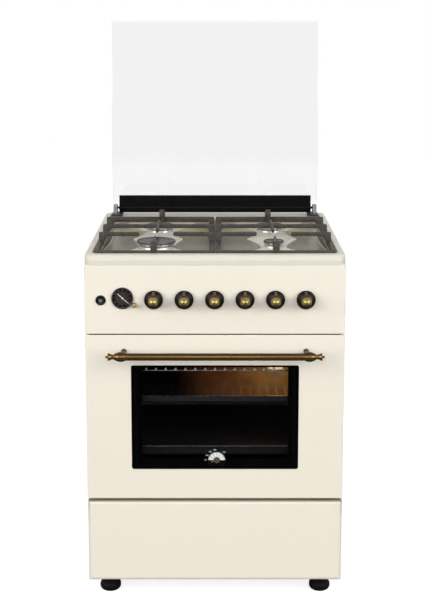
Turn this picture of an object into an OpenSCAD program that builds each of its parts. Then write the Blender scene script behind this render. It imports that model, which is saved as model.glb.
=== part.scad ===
// Free-standing gas cooker, 60 cm class: enamelled body on four screw feet, storage
// drawer, drop-down oven door, control panel, pressed hob with four burners, two cast
// iron pan supports and a glass lid. Millimetres. +Z is up and the front faces -Y.
// The origin is on the floor, in the middle of the whole outline.
// Inside the modules the second axis is the depth behind the face of the oven door.

/* [Overall] */
// Width of the cooker
body_w = 600; // [560:5:640]
// Depth from the door's face to the back panel's face
body_d = 600; // [580:5:640]
// Height of the drawer's lower edge above the floor
foot_h = 43; // [36:1:60]
// Height of the drawer front
drawer_h = 198; // [185:1:230]
// Gap between the drawer front and the door
drawer_gap = 8; // [7:0.5:12]
// Height of the oven door
door_h = 396; // [390:1:430]
// Gap between the door and the control panel
door_gap = 3; // [2:0.5:5]
// Height of the control panel
panel_h = 161; // [140:1:180]
// Height of the hob's pressed edge
hob_edge = 24; // [20:1:30]

/* [Sheet metal] */
// Thickness of the enamelled sheet
sheet = 1.5; // [1.2:0.1:2]
// Radius of the pans' front edges
edge_r = 4; // [3:0.5:5]

/* [Oven] */
// Distance of the oven cavity's side from the cooker's side
cavity_side = 72; // [70:1:85]
// Distance of the cavity's inner back wall from the back panel's face
cavity_in = 130; // [120:5:160]
// Height of the cavity's inner roof above the door's lower edge
cavity_rise = 361; // [355:1:363]
// Height of the oven mouth's lower edge above the door's lower edge
mouth_rise = 39; // [38:1:42]
// Thickness of the glass wool
wool_t = 26; // [20:1:28]
// Height of the lowest shelf rail above the door's lower edge
shelf_rise = 106; // [90:1:110]
// Distance between shelf rails
shelf_pitch = 62; // [55:0.5:63]

/* [Door] */
// Thickness of the whole door
door_t = 38; // [36:1:42]
// Depth of the door's outer pan
door_pan_t = 22; // [20:1:24]
// Half width of the window
window_half = 195; // [180:1:200]
// Height of the window
window_h = 252; // [240:1:260]
// Height of the window's lower edge above the door's lower edge
window_rise = 72; // [68:1:80]
// Depth of the door hinge's axis
hinge_d = 14; // [13:0.5:15]
// Height of the door hinge's axis above the door's lower edge
hinge_rise = 14; // [13.5:0.5:15]
// Radius of the door hinge's pin
hinge_pin_r = 3; // [2.5:0.1:3.5]

/* [Handle] */
// Half length of the bar between its sockets
handle_half = 211; // [190:1:225]
// Radius of the bar
handle_r = 8.3; // [7:0.1:9]
// Distance from the door's face to the bar's axis
handle_off = 48; // [42:1:55]
// Height of the bar's axis above the door's lower edge
handle_rise = 358; // [350:1:365]
// Radius of the ball at each end
ball_r = 12; // [11:0.5:13]
// Length of each finial beyond its ball's centre
finial_l = 39.5; // [36:0.5:44]

/* [Controls] */
// Distance between the gas knobs
knob_pitch = 70; // [62:0.5:72]
// Middle of the first gas knob
first_knob_x = -141; // [-150:1:-130]
// Height of the knobs above the control panel's lower edge
knob_rise = 82; // [76:1:90]
// Radius of a knob's skirt
knob_r = 22; // [19:0.5:24]
// Radius of a knob's dome
dome_r = 11; // [9:0.5:12]
// How far a gas knob pushes in
push_in = 3; // [2:0.5:3.5]
// Radius of the timer's bezel
timer_r = 25; // [22:0.5:27]
// Middle of the timer
timer_x = -213; // [-216:1:-208]
// Middle of the ignition button
button_x = -263; // [-270:1:-258]
// Radius of the ignition button's ring
button_ring_r = 12; // [10:0.5:13]

/* [Hob] */
// Distance of the burners from the cooker's middle
burner_x = 142; // [138:1:148]
// Depth of the front burners
front_row = 161; // [155:1:170]
// Distance of the rear burners from the back panel's face
rear_row_in = 219; // [210:1:225]
// Radius of the rapid burner's cap
rapid_r = 47.5; // [42:0.5:50]
// Radius of the two medium burners' caps
medium_r = 36; // [32:0.5:40]
// Radius of the small burner's cap
small_r = 25; // [22:0.5:28]
// Depth of the pan below the hob's rim
pan_drop = 15; // [12:0.5:16]
// Height of the pan supports above the hob's rim
grate_rise = 25; // [20:1:28]
// Distance of the pan supports from the cooker's side
grate_side = 20; // [18:1:25]
// Width of a pan support's frame bar
grate_frame = 10; // [8:0.5:13]
// Width of a pan support's cross bar
grate_bar = 7; // [6:0.5:9]
// Half width of the space that the fingers leave at each burner
finger_gap = 41; // [36:1:44]

/* [Lid] */
// Height of the lid's glass
glass_h = 492; // [470:1:500]
// Distance of the lid's glass from the cooker's side
glass_side = 20; // [15:1:30]
// Thickness of the lid's glass
glass_t = 5; // [4:0.5:6]
// Distance of the lid's hinge axis from the back panel's face
lid_axis_in = 38; // [34:1:44]
// Height of the lid's hinge axis above the hob's rim
lid_axis_rise = 20; // [19:0.5:24]

/* [Drawer] */
// Distance of the drawer's box from the cooker's side
box_side = 68; // [66:1:80]
// Height of the drawer's box
box_h = 145; // [120:1:150]

/* [Feet] */
// Distance of the feet from the cooker's side
foot_side = 47; // [44:1:48]
// Depth of the front feet
foot_front = 52; // [48:1:60]
// Distance of the rear feet from the back panel's face
foot_in = 40; // [34:1:60]
// Radius of a foot
foot_r = 24; // [20:0.5:26]
// Radius of a foot's screw
foot_screw_r = 5; // [4:0.5:6]

/* [Services] */
// Radius of the gas inlet's thread
inlet_r = 10.48; // [9:0.01:11]
// How far the gas inlet stands out behind the back panel
inlet_reach = 18; // [14:1:24]

/* [Hidden] */
$fn = 48;

half_w = body_w / 2;
cavity_half = half_w - cavity_side;
cavity_back = body_d - cavity_in;
grate_half = half_w - grate_side;
glass_half = half_w - glass_side;
lid_axis_d = body_d - lid_axis_in;
box_half = half_w - box_side;
foot_x = half_w - foot_side;
foot_rear = body_d - foot_in;
rear_row = body_d - rear_row_in;
slide_gap = 0.3; // between parts that slide on each other
run_fit = 0.05; // radial clearance of a shaft in its hole
more = 1; // how far a cutting shape runs past what it cuts

// heights
drawer_z = foot_h;
drawer_top = drawer_z + drawer_h;
door_z = drawer_top + drawer_gap;
door_top = door_z + door_h;
panel_z = door_top + door_gap;
hob_z = panel_z + panel_h;
rim_z = hob_z + hob_edge;
pan_z = rim_z - pan_drop;
window_z = door_z + window_rise;
window_top = window_z + window_h;
knob_z = panel_z + knob_rise;
hinge_z = door_z + hinge_rise;
handle_z = door_z + handle_rise;

// depths
frame_d = door_t + 4; // face of the front frame, behind the door and its seal
front_y = -(body_d + inlet_reach - handle_off - ball_r) / 2; // the door's face

// oven
floor_drop = 16; // the burner space below the mouth
mouth_z = door_z + mouth_rise;
cavity_z = mouth_z - floor_drop;
cavity_top = door_z + cavity_rise;
floor_z = mouth_z + 4;
shelf_z = door_z + shelf_rise;
shelf_count = 4;
lamp_x = 165;
lamp_rise = 256;
lamp_z = door_z + lamp_rise;
lamp_r = 20;
oven_jet_z = cavity_z + 9;
grill_z = cavity_top - 20;
oven_tube_r = 7;
grill_tube_r = 6;
burner_tail = cavity_back + wool_t + 9; // where the oven burners' tubes end
shelf_front = 58;
shelf_back = cavity_back - 30;

// door
inner_half = half_w - 38;
inner_low = door_z + 27;
inner_top = door_top - 9;
inner_window = window_half - 23;
inner_window_rim = 11;
pane_t = 4;
pane_rim = 11;
leaf_out = half_w - 55; // middle of each door hinge
bracket_t = 4;
bracket_h = 12;
thermo_x = 4;
thermo_z = window_z + 20;
thermo_r = 21;
pointer_angle = 200;

// controls
knob_count = 6;
knob_xs = [for (i = [0:knob_count - 1]) first_knob_x + i * knob_pitch];
stem_r = 3;
plug_r = 6;
tap_front = frame_d;
tap_back = tap_front + 28;
plug_d0 = tap_front + 1;
plug_d1 = tap_back - 10;
skirt_back = -push_in - 1;
timer_z = knob_z + 3;
timer_body_r = timer_r - 2.5;
set_knob_x = timer_x + 27;
set_knob_z = timer_z - 16;
set_knob_r = 6;
set_stem_r = 1.5;
arbor_r = 0.6;
hand_hour_angle = 49;
hand_minute_angle = -132;
button_z = knob_z - 2;
button_r = 6;

// spark box on the side panel: depth of its front, length, reach, height, drop from the hob
spark_box_d = 200;
spark_box_l = 90;
spark_box_w = 45;
spark_box_h = 45;
spark_box_drop = 25;

// gas
rail_size = 16;
rail_top = knob_z - 22;
pipe_r = 3.5;
feed_r = 8;
feed_x = half_w - 60;

// hob
rim_side = 16;
pan_front = 28;
pan_back = body_d - 75;
hob_r = 18;
hob_edge_r = 14;
plateau_h = 4;
head_z = pan_z + plateau_h;
crown_h = 12;
cap_z = head_z + crown_h;
cap_h = 4;
// each burner: middle, depth, cap radius, number of flame ports
burners = [[-burner_x, front_row, rapid_r, 30], [-burner_x, rear_row, medium_r, 24],
    [burner_x, rear_row, medium_r, 24], [burner_x, front_row, small_r, 18]];

// pan supports
grate_top = rim_z + grate_rise;
grate_foot_h = pan_drop - 9;
grate_low = pan_z + grate_foot_h;
grate_frame_h = 13;
grate_frame_z = grate_low + grate_frame_h;
grate_mid = (front_row + rear_row) / 2;
grate_front = pan_front + 5;
grate_back = 2 * grate_mid - grate_front;
grate_split = 1.5; // half the gap between the two pan supports
grate_bar_h = 10;

// lid
lid_axis_z = rim_z + lid_axis_rise;
glass_d = lid_axis_d + 10;
glass_low = lid_axis_z + 15;
rail_low = lid_axis_z - 14;
rail_high = lid_axis_z + 32;
rail_half = glass_half - 18;
rail_t = 3;
rail_bead_r = 6;
lid_post_r = 6;
lid_post_x = glass_half - 8.5;
lid_post_high = lid_axis_z + 10;
lid_pin_r = 3;
lid_pin_in = 3; // how far the pin runs past the post's middle
socket_h = 6;
socket_in = 19.5; // how far a socket reaches from its post: inward, outward, forward, back
socket_out = 13;
socket_fore = 30;
socket_aft = 22;

// base and drawer
base_z = drawer_z + 4.5;
base_t = 2;
boss_r = 10;
boss_h = 28;
runner_x = box_half + 2;
runner_h = 40;
runner_z = base_z + base_t + runner_h;
box_z = drawer_z + 17;
box_back = foot_rear;

// ---------------------------------------------------------------- helpers

// moves the depth axis into place
module from_front() {
    translate([0, front_y, 0]) children();
}

// a box between two corners
module slab(x0, x1, d0, d1, z0, z1) {
    translate([x0, d0, z0]) cube([x1 - x0, d1 - d0, z1 - z0]);
}

// a box that is centred across the cooker
module mid_slab(half, d0, d1, z0, z1) {
    slab(-half, half, d0, d1, z0, z1);
}

// the shape on the right and its mirror image on the left
module both_sides() {
    children();
    mirror([1, 0, 0]) children();
}

module rod_x(r, x0, x1, d, z) {
    translate([x0, d, z]) rotate([0, 90, 0]) cylinder(r = r, h = x1 - x0);
}

module rod_d(r, d0, d1, x, z) {
    translate([x, d0, z]) rotate([-90, 0, 0]) cylinder(r = r, h = d1 - d0);
}

module rod_z(r, z0, z1, x, d) {
    translate([x, d, z0]) cylinder(r = r, h = z1 - z0);
}

// a rectangle whose corners are round, centred
module round_rect(w, h, r) {
    square([w - 2 * r, h], center = true);
    square([w, h - 2 * r], center = true);
    for (x = [-1, 1]) {
        for (y = [-1, 1]) {
            translate([x * (w / 2 - r), y * (h / 2 - r)]) circle(r);
        }
    }
}

// an upright plate with round corners, centred across the cooker
module round_plate(half, d0, d1, z0, z1, r) {
    translate([0, d1, (z0 + z1) / 2]) rotate([90, 0, 0])
        linear_extrude(d1 - d0) round_rect(2 * half, z1 - z0, r);
}

// a flat strip whose two front corners are round
module front_round(w, t, r) {
    translate([-w / 2, r]) square([w, t - r]);
    translate([-w / 2 + r, 0]) square([w - 2 * r, t]);
    for (x = [-1, 1]) {
        translate([x * (w / 2 - r), r]) circle(r);
    }
}

// a block whose front edges are round, centred across the cooker
module soft_block(half, d0, d1, z0, z1, r) {
    intersection() {
        translate([0, d0, z0]) linear_extrude(z1 - z0) front_round(2 * half, d1 - d0, r);
        translate([-half, d0, (z0 + z1) / 2]) rotate([90, 0, 90])
            linear_extrude(2 * half) rotate(-90) front_round(z1 - z0, d1 - d0, r);
    }
}

// an enamelled pan: a plate with round front edges and returned sides, open at the back
module pan(half, d0, d1, z0, z1) {
    difference() {
        soft_block(half, d0, d1, z0, z1, edge_r);
        mid_slab(half - sheet, d0 + sheet, d1 + more, z0 + sheet, z1 - sheet);
    }
}

// a rectangular ring, upright
module ring(half, rim, d0, d1, z0, z1) {
    difference() {
        mid_slab(half, d0, d1, z0, z1);
        mid_slab(half - rim, d0 - more, d1 + more, z0 + rim, z1 - rim);
    }
}

// ---------------------------------------------------------------- body

module side_panels() {
    color("ivory") from_front() both_sides() {
        slab(half_w - sheet, half_w, frame_d, body_d - sheet, base_z - sheet, hob_z);
        slab(half_w - 20, half_w, body_d - 2 * sheet, body_d - sheet, base_z, hob_z);
        slab(half_w - 16, half_w, frame_d, body_d - sheet, base_z - sheet, base_z);
        slab(half_w - 20, half_w, frame_d, body_d - sheet, hob_z - sheet, hob_z);
    }
}

vent_count = 9;
vent_pitch = 44;
gland_x = -240;
gland_z = 130;
gland_r = 8;

module back_panel() {
    color("silver") from_front() difference() {
        mid_slab(half_w, body_d - sheet, body_d, base_z - sheet, hob_z);
        for (i = [0:vent_count - 1]) {
            x = (i - (vent_count - 1) / 2) * vent_pitch;
            slab(x - 14, x + 14, body_d - 3, body_d + more, hob_z - 45, hob_z - 39);
            slab(x - 14, x + 14, body_d - 3, body_d + more, hob_z - 30, hob_z - 24);
        }
        rod_d(feed_r + 0.5, body_d - 3, body_d + more, feed_x, rail_top - rail_size / 2);
        rod_d(gland_r + 0.1, body_d - 3, body_d + more, gland_x, gland_z);
    }
}

screw_r = 4;
screw_h = 1.8;
gland_flange = 5;

// screws of the back panel, and the gland where the mains lead enters
module back_fittings() {
    color("dimgray") from_front() {
        both_sides() for (z = [base_z + 30, (base_z + hob_z) / 2, hob_z - 30]) {
            rod_d(screw_r, body_d, body_d + screw_h, half_w - 10, z);
        }
        for (x = [-130, 0, 130]) {
            rod_d(screw_r, body_d, body_d + screw_h, x, hob_z - 10);
        }
        difference() {
            union() {
                rod_d(gland_r + 4, body_d, body_d + gland_flange, gland_x, gland_z);
                rod_d(gland_r, body_d - 10, body_d + gland_flange, gland_x, gland_z);
            }
            rod_d(4, body_d - 11, body_d + gland_flange + more, gland_x, gland_z);
        }
    }
}

module foot_places() {
    for (x = [-foot_x, foot_x]) {
        for (d = [foot_front, foot_rear]) {
            translate([x, d, 0]) children();
        }
    }
}

module base_plate() {
    base_top = base_z + base_t;
    color("gray") from_front() difference() {
        union() {
            mid_slab(half_w - sheet, frame_d, body_d - 2 * sheet, base_z, base_top);
            foot_places() rod_z(boss_r, base_z, base_top + boss_h, 0, 0);
            both_sides() {
                slab(runner_x + 4, runner_x + 6, 60, body_d - 10, base_z, runner_z);
                slab(runner_x, runner_x + 6, 60, body_d - 10, runner_z - 2, runner_z);
            }
        }
        foot_places() rod_z(foot_screw_r + run_fit, base_z - more, base_top + boss_h + more, 0, 0);
    }
}

// a screw foot: a wide pad, a waist and its screw
module foot(x, d) {
    pad_h = foot_h * 0.38;
    top = base_z - slide_gap;
    color("black") from_front() translate([x, d, 0]) {
        rotate_extrude() polygon([[0, 0], [foot_r - 5, 0], [foot_r - 1.5, 4],
            [foot_r, 9], [foot_r, pad_h], [foot_r - 2.5, pad_h + 3],
            [foot_r - 2.5, top], [0, top]]);
        rod_z(foot_screw_r, top - more, base_z + base_t + boss_h - 2, 0, 0);
    }
}

module foot_front_left() { foot(-foot_x, foot_front); }
module foot_front_right() { foot(foot_x, foot_front); }
module foot_rear_left() { foot(-foot_x, foot_rear); }
module foot_rear_right() { foot(foot_x, foot_rear); }

module front_frame() {
    low = drawer_top + 2;
    color("black") from_front() difference() {
        union() {
            mid_slab(half_w - sheet, frame_d, frame_d + sheet, low, panel_z);
            mid_slab(half_w - sheet, frame_d, frame_d + 28, panel_z - sheet, panel_z);
            mid_slab(half_w - sheet, frame_d, frame_d + 12, low, low + sheet);
        }
        mid_slab(cavity_half, frame_d - more, frame_d + sheet + more, mouth_z, cavity_top);
        both_sides() slab(leaf_out - bracket_t, leaf_out + bracket_t,
            frame_d - more, frame_d + 5, hinge_z - 11, hinge_z + 11);
    }
}

// ---------------------------------------------------------------- oven

module oven_cavity() {
    d0 = frame_d + sheet;
    color("dimgray") from_front() difference() {
        union() {
            mid_slab(cavity_half + sheet, d0, cavity_back + sheet,
                cavity_z - sheet, cavity_top + sheet);
            mid_slab(cavity_half + 11, d0, d0 + sheet, cavity_z - 8, cavity_top + 10);
        }
        mid_slab(cavity_half, d0 - more, cavity_back, cavity_z, cavity_top);
        rod_d(lamp_r, cavity_back - more, cavity_back + 3, lamp_x, lamp_z);
        rod_d(oven_tube_r + 0.5, cavity_back - more, cavity_back + 3, 0, oven_jet_z);
        rod_d(grill_tube_r + 0.5, cavity_back - more, cavity_back + 3, 0, grill_z);
    }
}

module insulation() {
    inner = cavity_half + sheet + slide_gap;
    notch = leaf_out - 9;
    color("khaki") from_front() difference() {
        mid_slab(inner + wool_t + 5, frame_d + 2 * sheet + slide_gap, cavity_back + sheet + wool_t,
            cavity_z - sheet - 18, cavity_top + sheet + 18);
        mid_slab(inner, frame_d, cavity_back + sheet + slide_gap,
            cavity_z - sheet - slide_gap, cavity_top + sheet + slide_gap);
        both_sides() slab(notch, notch + 40, frame_d, frame_d + 40, door_z, hinge_z + 26);
        rod_d(lamp_r + 1, cavity_back, cavity_back + wool_t + 5, lamp_x, lamp_z);
        rod_d(oven_tube_r + 1, cavity_back, cavity_back + wool_t + 5, 0, oven_jet_z);
        rod_d(grill_tube_r + 1, cavity_back, cavity_back + wool_t + 5, 0, grill_z);
    }
}

// the lift-out floor over the oven burner, with heat slots along both sides
module oven_floor() {
    half = cavity_half - 2;
    color("dimgray") from_front() difference() {
        mid_slab(half, 50, cavity_back - 4, cavity_z, floor_z + sheet);
        mid_slab(half - sheet, 50 - more, cavity_back, cavity_z - more, floor_z);
        both_sides() for (i = [0:5]) {
            slab(half - 34, half - 18, 80 + i * 60, 115 + i * 60, floor_z - more, floor_z + 3);
        }
    }
}

// the oven burner under the floor and the grill burner under the roof
module oven_burners() {
    color("silver") from_front() {
        difference() {
            union() {
                rod_d(oven_tube_r, 80, burner_tail, 0, oven_jet_z);
                for (d = [110, cavity_back - 70]) {
                    mid_slab(16, d, d + 3, cavity_z, oven_jet_z);
                }
            }
            rod_d(oven_tube_r - 1.2, 82, burner_tail - 2, 0, oven_jet_z);
        }
        difference() {
            union() {
                rod_d(grill_tube_r, 120, burner_tail, 0, grill_z);
                for (d = [180, cavity_back - 130]) {
                    mid_slab(100, d, d + 12, grill_z - 4, grill_z + 4);
                    both_sides() slab(94, 98, d, d + 12, grill_z, cavity_top);
                }
            }
            rod_d(grill_tube_r - 1.2, 122, burner_tail - 2, 0, grill_z);
        }
    }
}

// two side racks with a rail at every shelf height
module shelf_ladders() {
    color("silver") from_front() both_sides() {
        for (d = [shelf_front + 22, shelf_back - 20]) {
            slab(cavity_half - 4, cavity_half, d, d + 4, shelf_z - 30,
                shelf_z + (shelf_count - 1) * shelf_pitch + 40);
        }
        for (i = [0:shelf_count - 1]) {
            z = shelf_z + i * shelf_pitch;
            slab(cavity_half - 14, cavity_half - 4, shelf_front, shelf_back + 4, z - 4, z);
        }
    }
}

rack_wires = 19;

module wire_rack() {
    half = cavity_half - 6;
    z = shelf_z + (shelf_count - 1) * shelf_pitch + 3;
    pitch = 2 * (half - 12) / (rack_wires - 1);
    color("silver") from_front() {
        for (d = [shelf_front + 3, shelf_back - 3]) {
            rod_x(3, -half, half, d, z);
        }
        for (x = [-half + 3, half - 3]) {
            rod_d(3, shelf_front + 3, shelf_back - 3, x, z);
        }
        for (i = [0:rack_wires - 1]) {
            rod_d(1.7, shelf_front + 3, shelf_back - 3, -half + 12 + i * pitch, z + 0.5);
        }
    }
}

// one baking tray: a rim that lies on the rails and a trough below it
module tray(rail, deep) {
    half = cavity_half - 16;
    z = shelf_z + rail * shelf_pitch;
    difference() {
        union() {
            mid_slab(half + 9, shelf_front, shelf_back, z, z + 2);
            mid_slab(half, shelf_front + 4, shelf_back - 4, z + 2 - deep, z + 2);
        }
        mid_slab(half - 1.5, shelf_front + 6, shelf_back - 6, z + 3.5 - deep, z + 3);
    }
}

module baking_trays() {
    color("dimgray") from_front() {
        tray(0, 25);
        tray(2, 19);
    }
}

module oven_lamp() {
    color("white") from_front() {
        difference() {
            rod_d(lamp_r + 3, cavity_back - 3, cavity_back, lamp_x, lamp_z);
            rod_d(lamp_r - 2, cavity_back - 2, cavity_back + more, lamp_x, lamp_z);
        }
        rod_d(lamp_r - 0.3, cavity_back, cavity_back + wool_t, lamp_x, lamp_z);
    }
}

module door_seal() {
    color("dimgray") from_front()
        ring(cavity_half + 9, 6, door_t + slide_gap, frame_d, mouth_z - 9, cavity_top + 9);
}

// ---------------------------------------------------------------- door

module door_panel() {
    lip = 24;
    color("ivory") from_front() difference() {
        union() {
            pan(half_w, 0, door_pan_t, door_z, door_top);
            difference() {
                mid_slab(half_w - 1, door_pan_t - sheet, door_pan_t, door_z + 1, door_top - 1);
                mid_slab(half_w - lip - 4, 0, door_pan_t + more, door_z + sheet + lip,
                    door_top - sheet - lip);
            }
        }
        round_plate(window_half, -more, sheet + more, window_z, window_top, 5);
        both_sides() slab(leaf_out - 5, leaf_out + 5, hinge_d - 9, door_pan_t + more,
            door_z - more, door_z + sheet + lip + more);
        for (x = [-handle_half, handle_half]) {
            rod_d(3.2, -more, sheet + more, x, handle_z);
        }
    }
}

module door_glasses() {
    color("black", 0.5) from_front() {
        mid_slab(window_half + pane_rim, sheet, sheet + pane_t,
            window_z - pane_rim, window_top + pane_rim);
        mid_slab(inner_window + pane_rim, door_t - sheet - pane_t, door_t - sheet,
            window_z, window_top);
    }
}

module door_inner_frame() {
    back = door_t - sheet;
    color("gray") from_front() {
        difference() {
            mid_slab(inner_half, door_pan_t, door_t, inner_low, inner_top);
            mid_slab(inner_half - sheet, door_pan_t - more, back,
                inner_low + sheet, inner_top - sheet);
            mid_slab(inner_window, back - more, door_t + more,
                window_z + inner_window_rim, window_top - inner_window_rim);
        }
        difference() {
            mid_slab(inner_half + 18, door_pan_t, door_pan_t + sheet,
                inner_low - 3, inner_top + 4);
            mid_slab(inner_half - sheet, door_pan_t - more, door_pan_t + sheet + more,
                inner_low + sheet, inner_top - sheet);
        }
    }
}

// the arms that stand out of the front frame and carry the door on their pins
module hinge_brackets() {
    half_t = bracket_t / 2;
    color("silver") from_front() both_sides() {
        rod_x(bracket_h / 2, leaf_out - half_t, leaf_out + half_t, hinge_d, hinge_z);
        slab(leaf_out - half_t, leaf_out + half_t, hinge_d, frame_d + 24,
            hinge_z - bracket_h / 2, hinge_z + bracket_h / 2);
        rod_x(hinge_pin_r, leaf_out - 8, leaf_out + 8, hinge_d, hinge_z);
        slab(leaf_out, leaf_out + 15, frame_d + sheet, frame_d + 2 * sheet,
            hinge_z - 9, hinge_z + 20);
    }
}

// two plates on the door at each hinge, bored for the pin
module door_hinge_leaves() {
    leaf_t = 3.5;
    color("silver") from_front() both_sides() difference() {
        for (x = [leaf_out - 3.5 - leaf_t, leaf_out + 3.5]) {
            slab(x, x + leaf_t, sheet, door_pan_t - sheet - 1, hinge_z - 8, hinge_z + 36);
        }
        rod_x(hinge_pin_r + run_fit, leaf_out - 10, leaf_out + 10, hinge_d, hinge_z);
    }
}

socket_r = handle_r + run_fit;
socket_depth = 4; // from the ball's centre to the end of the bar

// outline of the ball and its finial from the socket's mouth outwards: radius, distance
function end_profile(l) = let (t0 = -acos((socket_r + 0.3) / ball_r)) concat(
    [[0, -socket_depth], [socket_r, -socket_depth], [socket_r, ball_r * sin(t0)]],
    [for (k = [0:7]) let (t = t0 + k * (38 - t0) / 7) [ball_r * cos(t), ball_r * sin(t)]],
    [[8.6, 9], [6.8, 14], [4.6, l - 21], [3.6, l - 18], [4.2, l - 16], [6.2, l - 14],
        [9.4, l - 12], [9.6, l - 10.5], [8, l - 9.5], [3.2, l - 8.2], [2.6, l - 7],
        [4.4, l - 5.6], [4.8, l - 4], [4.2, l - 1.5], [0, l]]);

// a ball with its finial, and the post and rosette that carry it on the door
module handle_end() {
    translate([handle_half, -handle_off, handle_z]) rotate([0, 90, 0])
        rotate_extrude() polygon(end_profile(finial_l));
    translate([handle_half, 0, handle_z]) rotate([-90, 0, 0]) rotate_extrude()
        polygon([[0, -handle_off + ball_r * 0.8], [6, -handle_off + ball_r * 0.8], [6, -8],
            [7.5, -7], [7.5, -4], [10, -3], [10, 0], [3, 0], [3, 6], [0, 6]]);
}

module door_handle() {
    reach = handle_half - socket_depth - 2 * run_fit;
    color("darkgoldenrod") from_front() {
        rod_x(handle_r, -reach, reach, -handle_off, handle_z);
        both_sides() handle_end();
    }
}

thermo_front = sheet + pane_t;

module thermometer_case() {
    color("black") from_front() difference() {
        rod_d(thermo_r, thermo_front, thermo_front + 6, thermo_x, thermo_z);
        rod_d(thermo_r - 1, thermo_front - more, thermo_front + 2, thermo_x, thermo_z);
        rod_d(0.8 + run_fit, thermo_front, thermo_front + 5, thermo_x, thermo_z);
    }
}

module thermometer_pointer() {
    color("red") from_front() translate([thermo_x, thermo_front + 1.7, thermo_z])
        rotate([90, 0, 0]) {
            cylinder(r = 6.5, h = 1.2);
            translate([0, 0, -2.5]) cylinder(r = 0.8, h = 3);
            rotate(pointer_angle) linear_extrude(0.8)
                polygon([[0, -2.4], [14.5, -0.4], [14.5, 0.4], [0, 2.4]]);
        }
}

// ---------------------------------------------------------------- drawer

module drawer_front() {
    half = half_w - 1;
    d0 = 1;
    d1 = 20;
    color("ivory") from_front() {
        difference() {
            soft_block(half, d0, d1, drawer_z, drawer_top, edge_r + 3);
            mid_slab(half - sheet, d0 + sheet, d1 - sheet, drawer_z + sheet, drawer_top - sheet - 3);
            mid_slab(box_half - 4, d1 - 3, d1 + more, box_z + 5, box_z + box_h - 5);
        }
    }
}

module drawer_box() {
    d0 = 20;
    top = box_z + box_h;
    color("silver") from_front() {
        difference() {
            mid_slab(box_half, d0, box_back, box_z, top);
            mid_slab(box_half - sheet, d0 + sheet, box_back - sheet, box_z + sheet, top + more);
        }
        both_sides() slab(box_half - sheet, runner_x + 6, d0, box_back,
            runner_z + slide_gap, runner_z + slide_gap + sheet);
    }
}

// ---------------------------------------------------------------- control panel

module control_panel() {
    color("ivory") from_front() difference() {
        union() {
            pan(half_w, 0, frame_d, panel_z, hob_z);
        }
        for (x = knob_xs) {
            rod_d(stem_r + 2.5, -more, sheet + more, x, knob_z);
        }
        rod_d(timer_body_r + 0.3, -more, sheet + more, timer_x, timer_z);
        rod_d(button_ring_r - 3, -more, sheet + more, button_x, button_z);
        rod_d(set_stem_r + 1.5, -more, sheet + more, set_knob_x, set_knob_z);
    }
}

// outline of a knob's skirt and neck, from the panel outwards
function skirt_profile(r, neck) = [[0, 0], [r - 1, 0], [r, 1], [r, 3.5], [r - 1, 5],
    [r - 4.5, 9], [neck + 2.4, 12.5], [neck + 1.2, 15.5], [neck + 1.6, 18.5],
    [neck + 0.6, 21], [neck - 0.6, 22], [0, 22]];

// a gas knob: skirt, neck, dome, pointer rib and the stem that turns the tap
module knob(i) {
    neck_l = 22;
    color("black") from_front() translate([knob_xs[i], skirt_back, knob_z]) {
        rotate([90, 0, 0]) {
            rotate_extrude() polygon(skirt_profile(knob_r, dome_r));
            translate([0, 0, neck_l - 1]) cylinder(r = dome_r - 0.5, h = 4);
            translate([0, 0, neck_l + 3]) intersection() {
                sphere(dome_r - 0.5);
                cylinder(r = dome_r, h = dome_r);
            }
            translate([-1.2, dome_r, 6]) cube([2.4, 5.5, 5]);
        }
        rod_d(stem_r, -2, plug_d1 - 9 - skirt_back, 0, 0);
    }
}

module knob_1() { knob(0); }
module knob_2() { knob(1); }
module knob_3() { knob(2); }
module knob_4() { knob(3); }
module knob_5() { knob(4); }
module knob_6() { knob(5); }

// the turning plug in a tap, with the blind bore that takes the knob's stem
module tap_plug(i) {
    color("goldenrod") from_front() difference() {
        rod_d(plug_r, plug_d0, plug_d1, knob_xs[i], knob_z);
        rod_d(stem_r + run_fit, plug_d0 - more, plug_d1 - 2, knob_xs[i], knob_z);
    }
}

module tap_plug_1() { tap_plug(0); }
module tap_plug_2() { tap_plug(1); }
module tap_plug_3() { tap_plug(2); }
module tap_plug_4() { tap_plug(3); }
module tap_plug_5() { tap_plug(4); }
module tap_plug_6() { tap_plug(5); }

module gas_taps() {
    color("goldenrod") from_front() for (x = knob_xs) {
        difference() {
            slab(x - 12, x + 12, tap_front, tap_back, rail_top, knob_z + 12);
            rod_d(plug_r + run_fit, tap_front - more, plug_d1 + more, x, knob_z);
        }
    }
}

// a pipe that runs straight from point to point, with a ball at each turn
module pipe_run(points, r) {
    for (i = [0:len(points) - 2]) {
        a = points[i];
        b = points[i + 1];
        v = b - a;
        translate(a) rotate([0, acos(v[2] / norm(v)), atan2(v[1], v[0])])
            cylinder(r = r, h = norm(v));
        if (i > 0) {
            translate(a) sphere(r);
        }
    }
}

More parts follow.
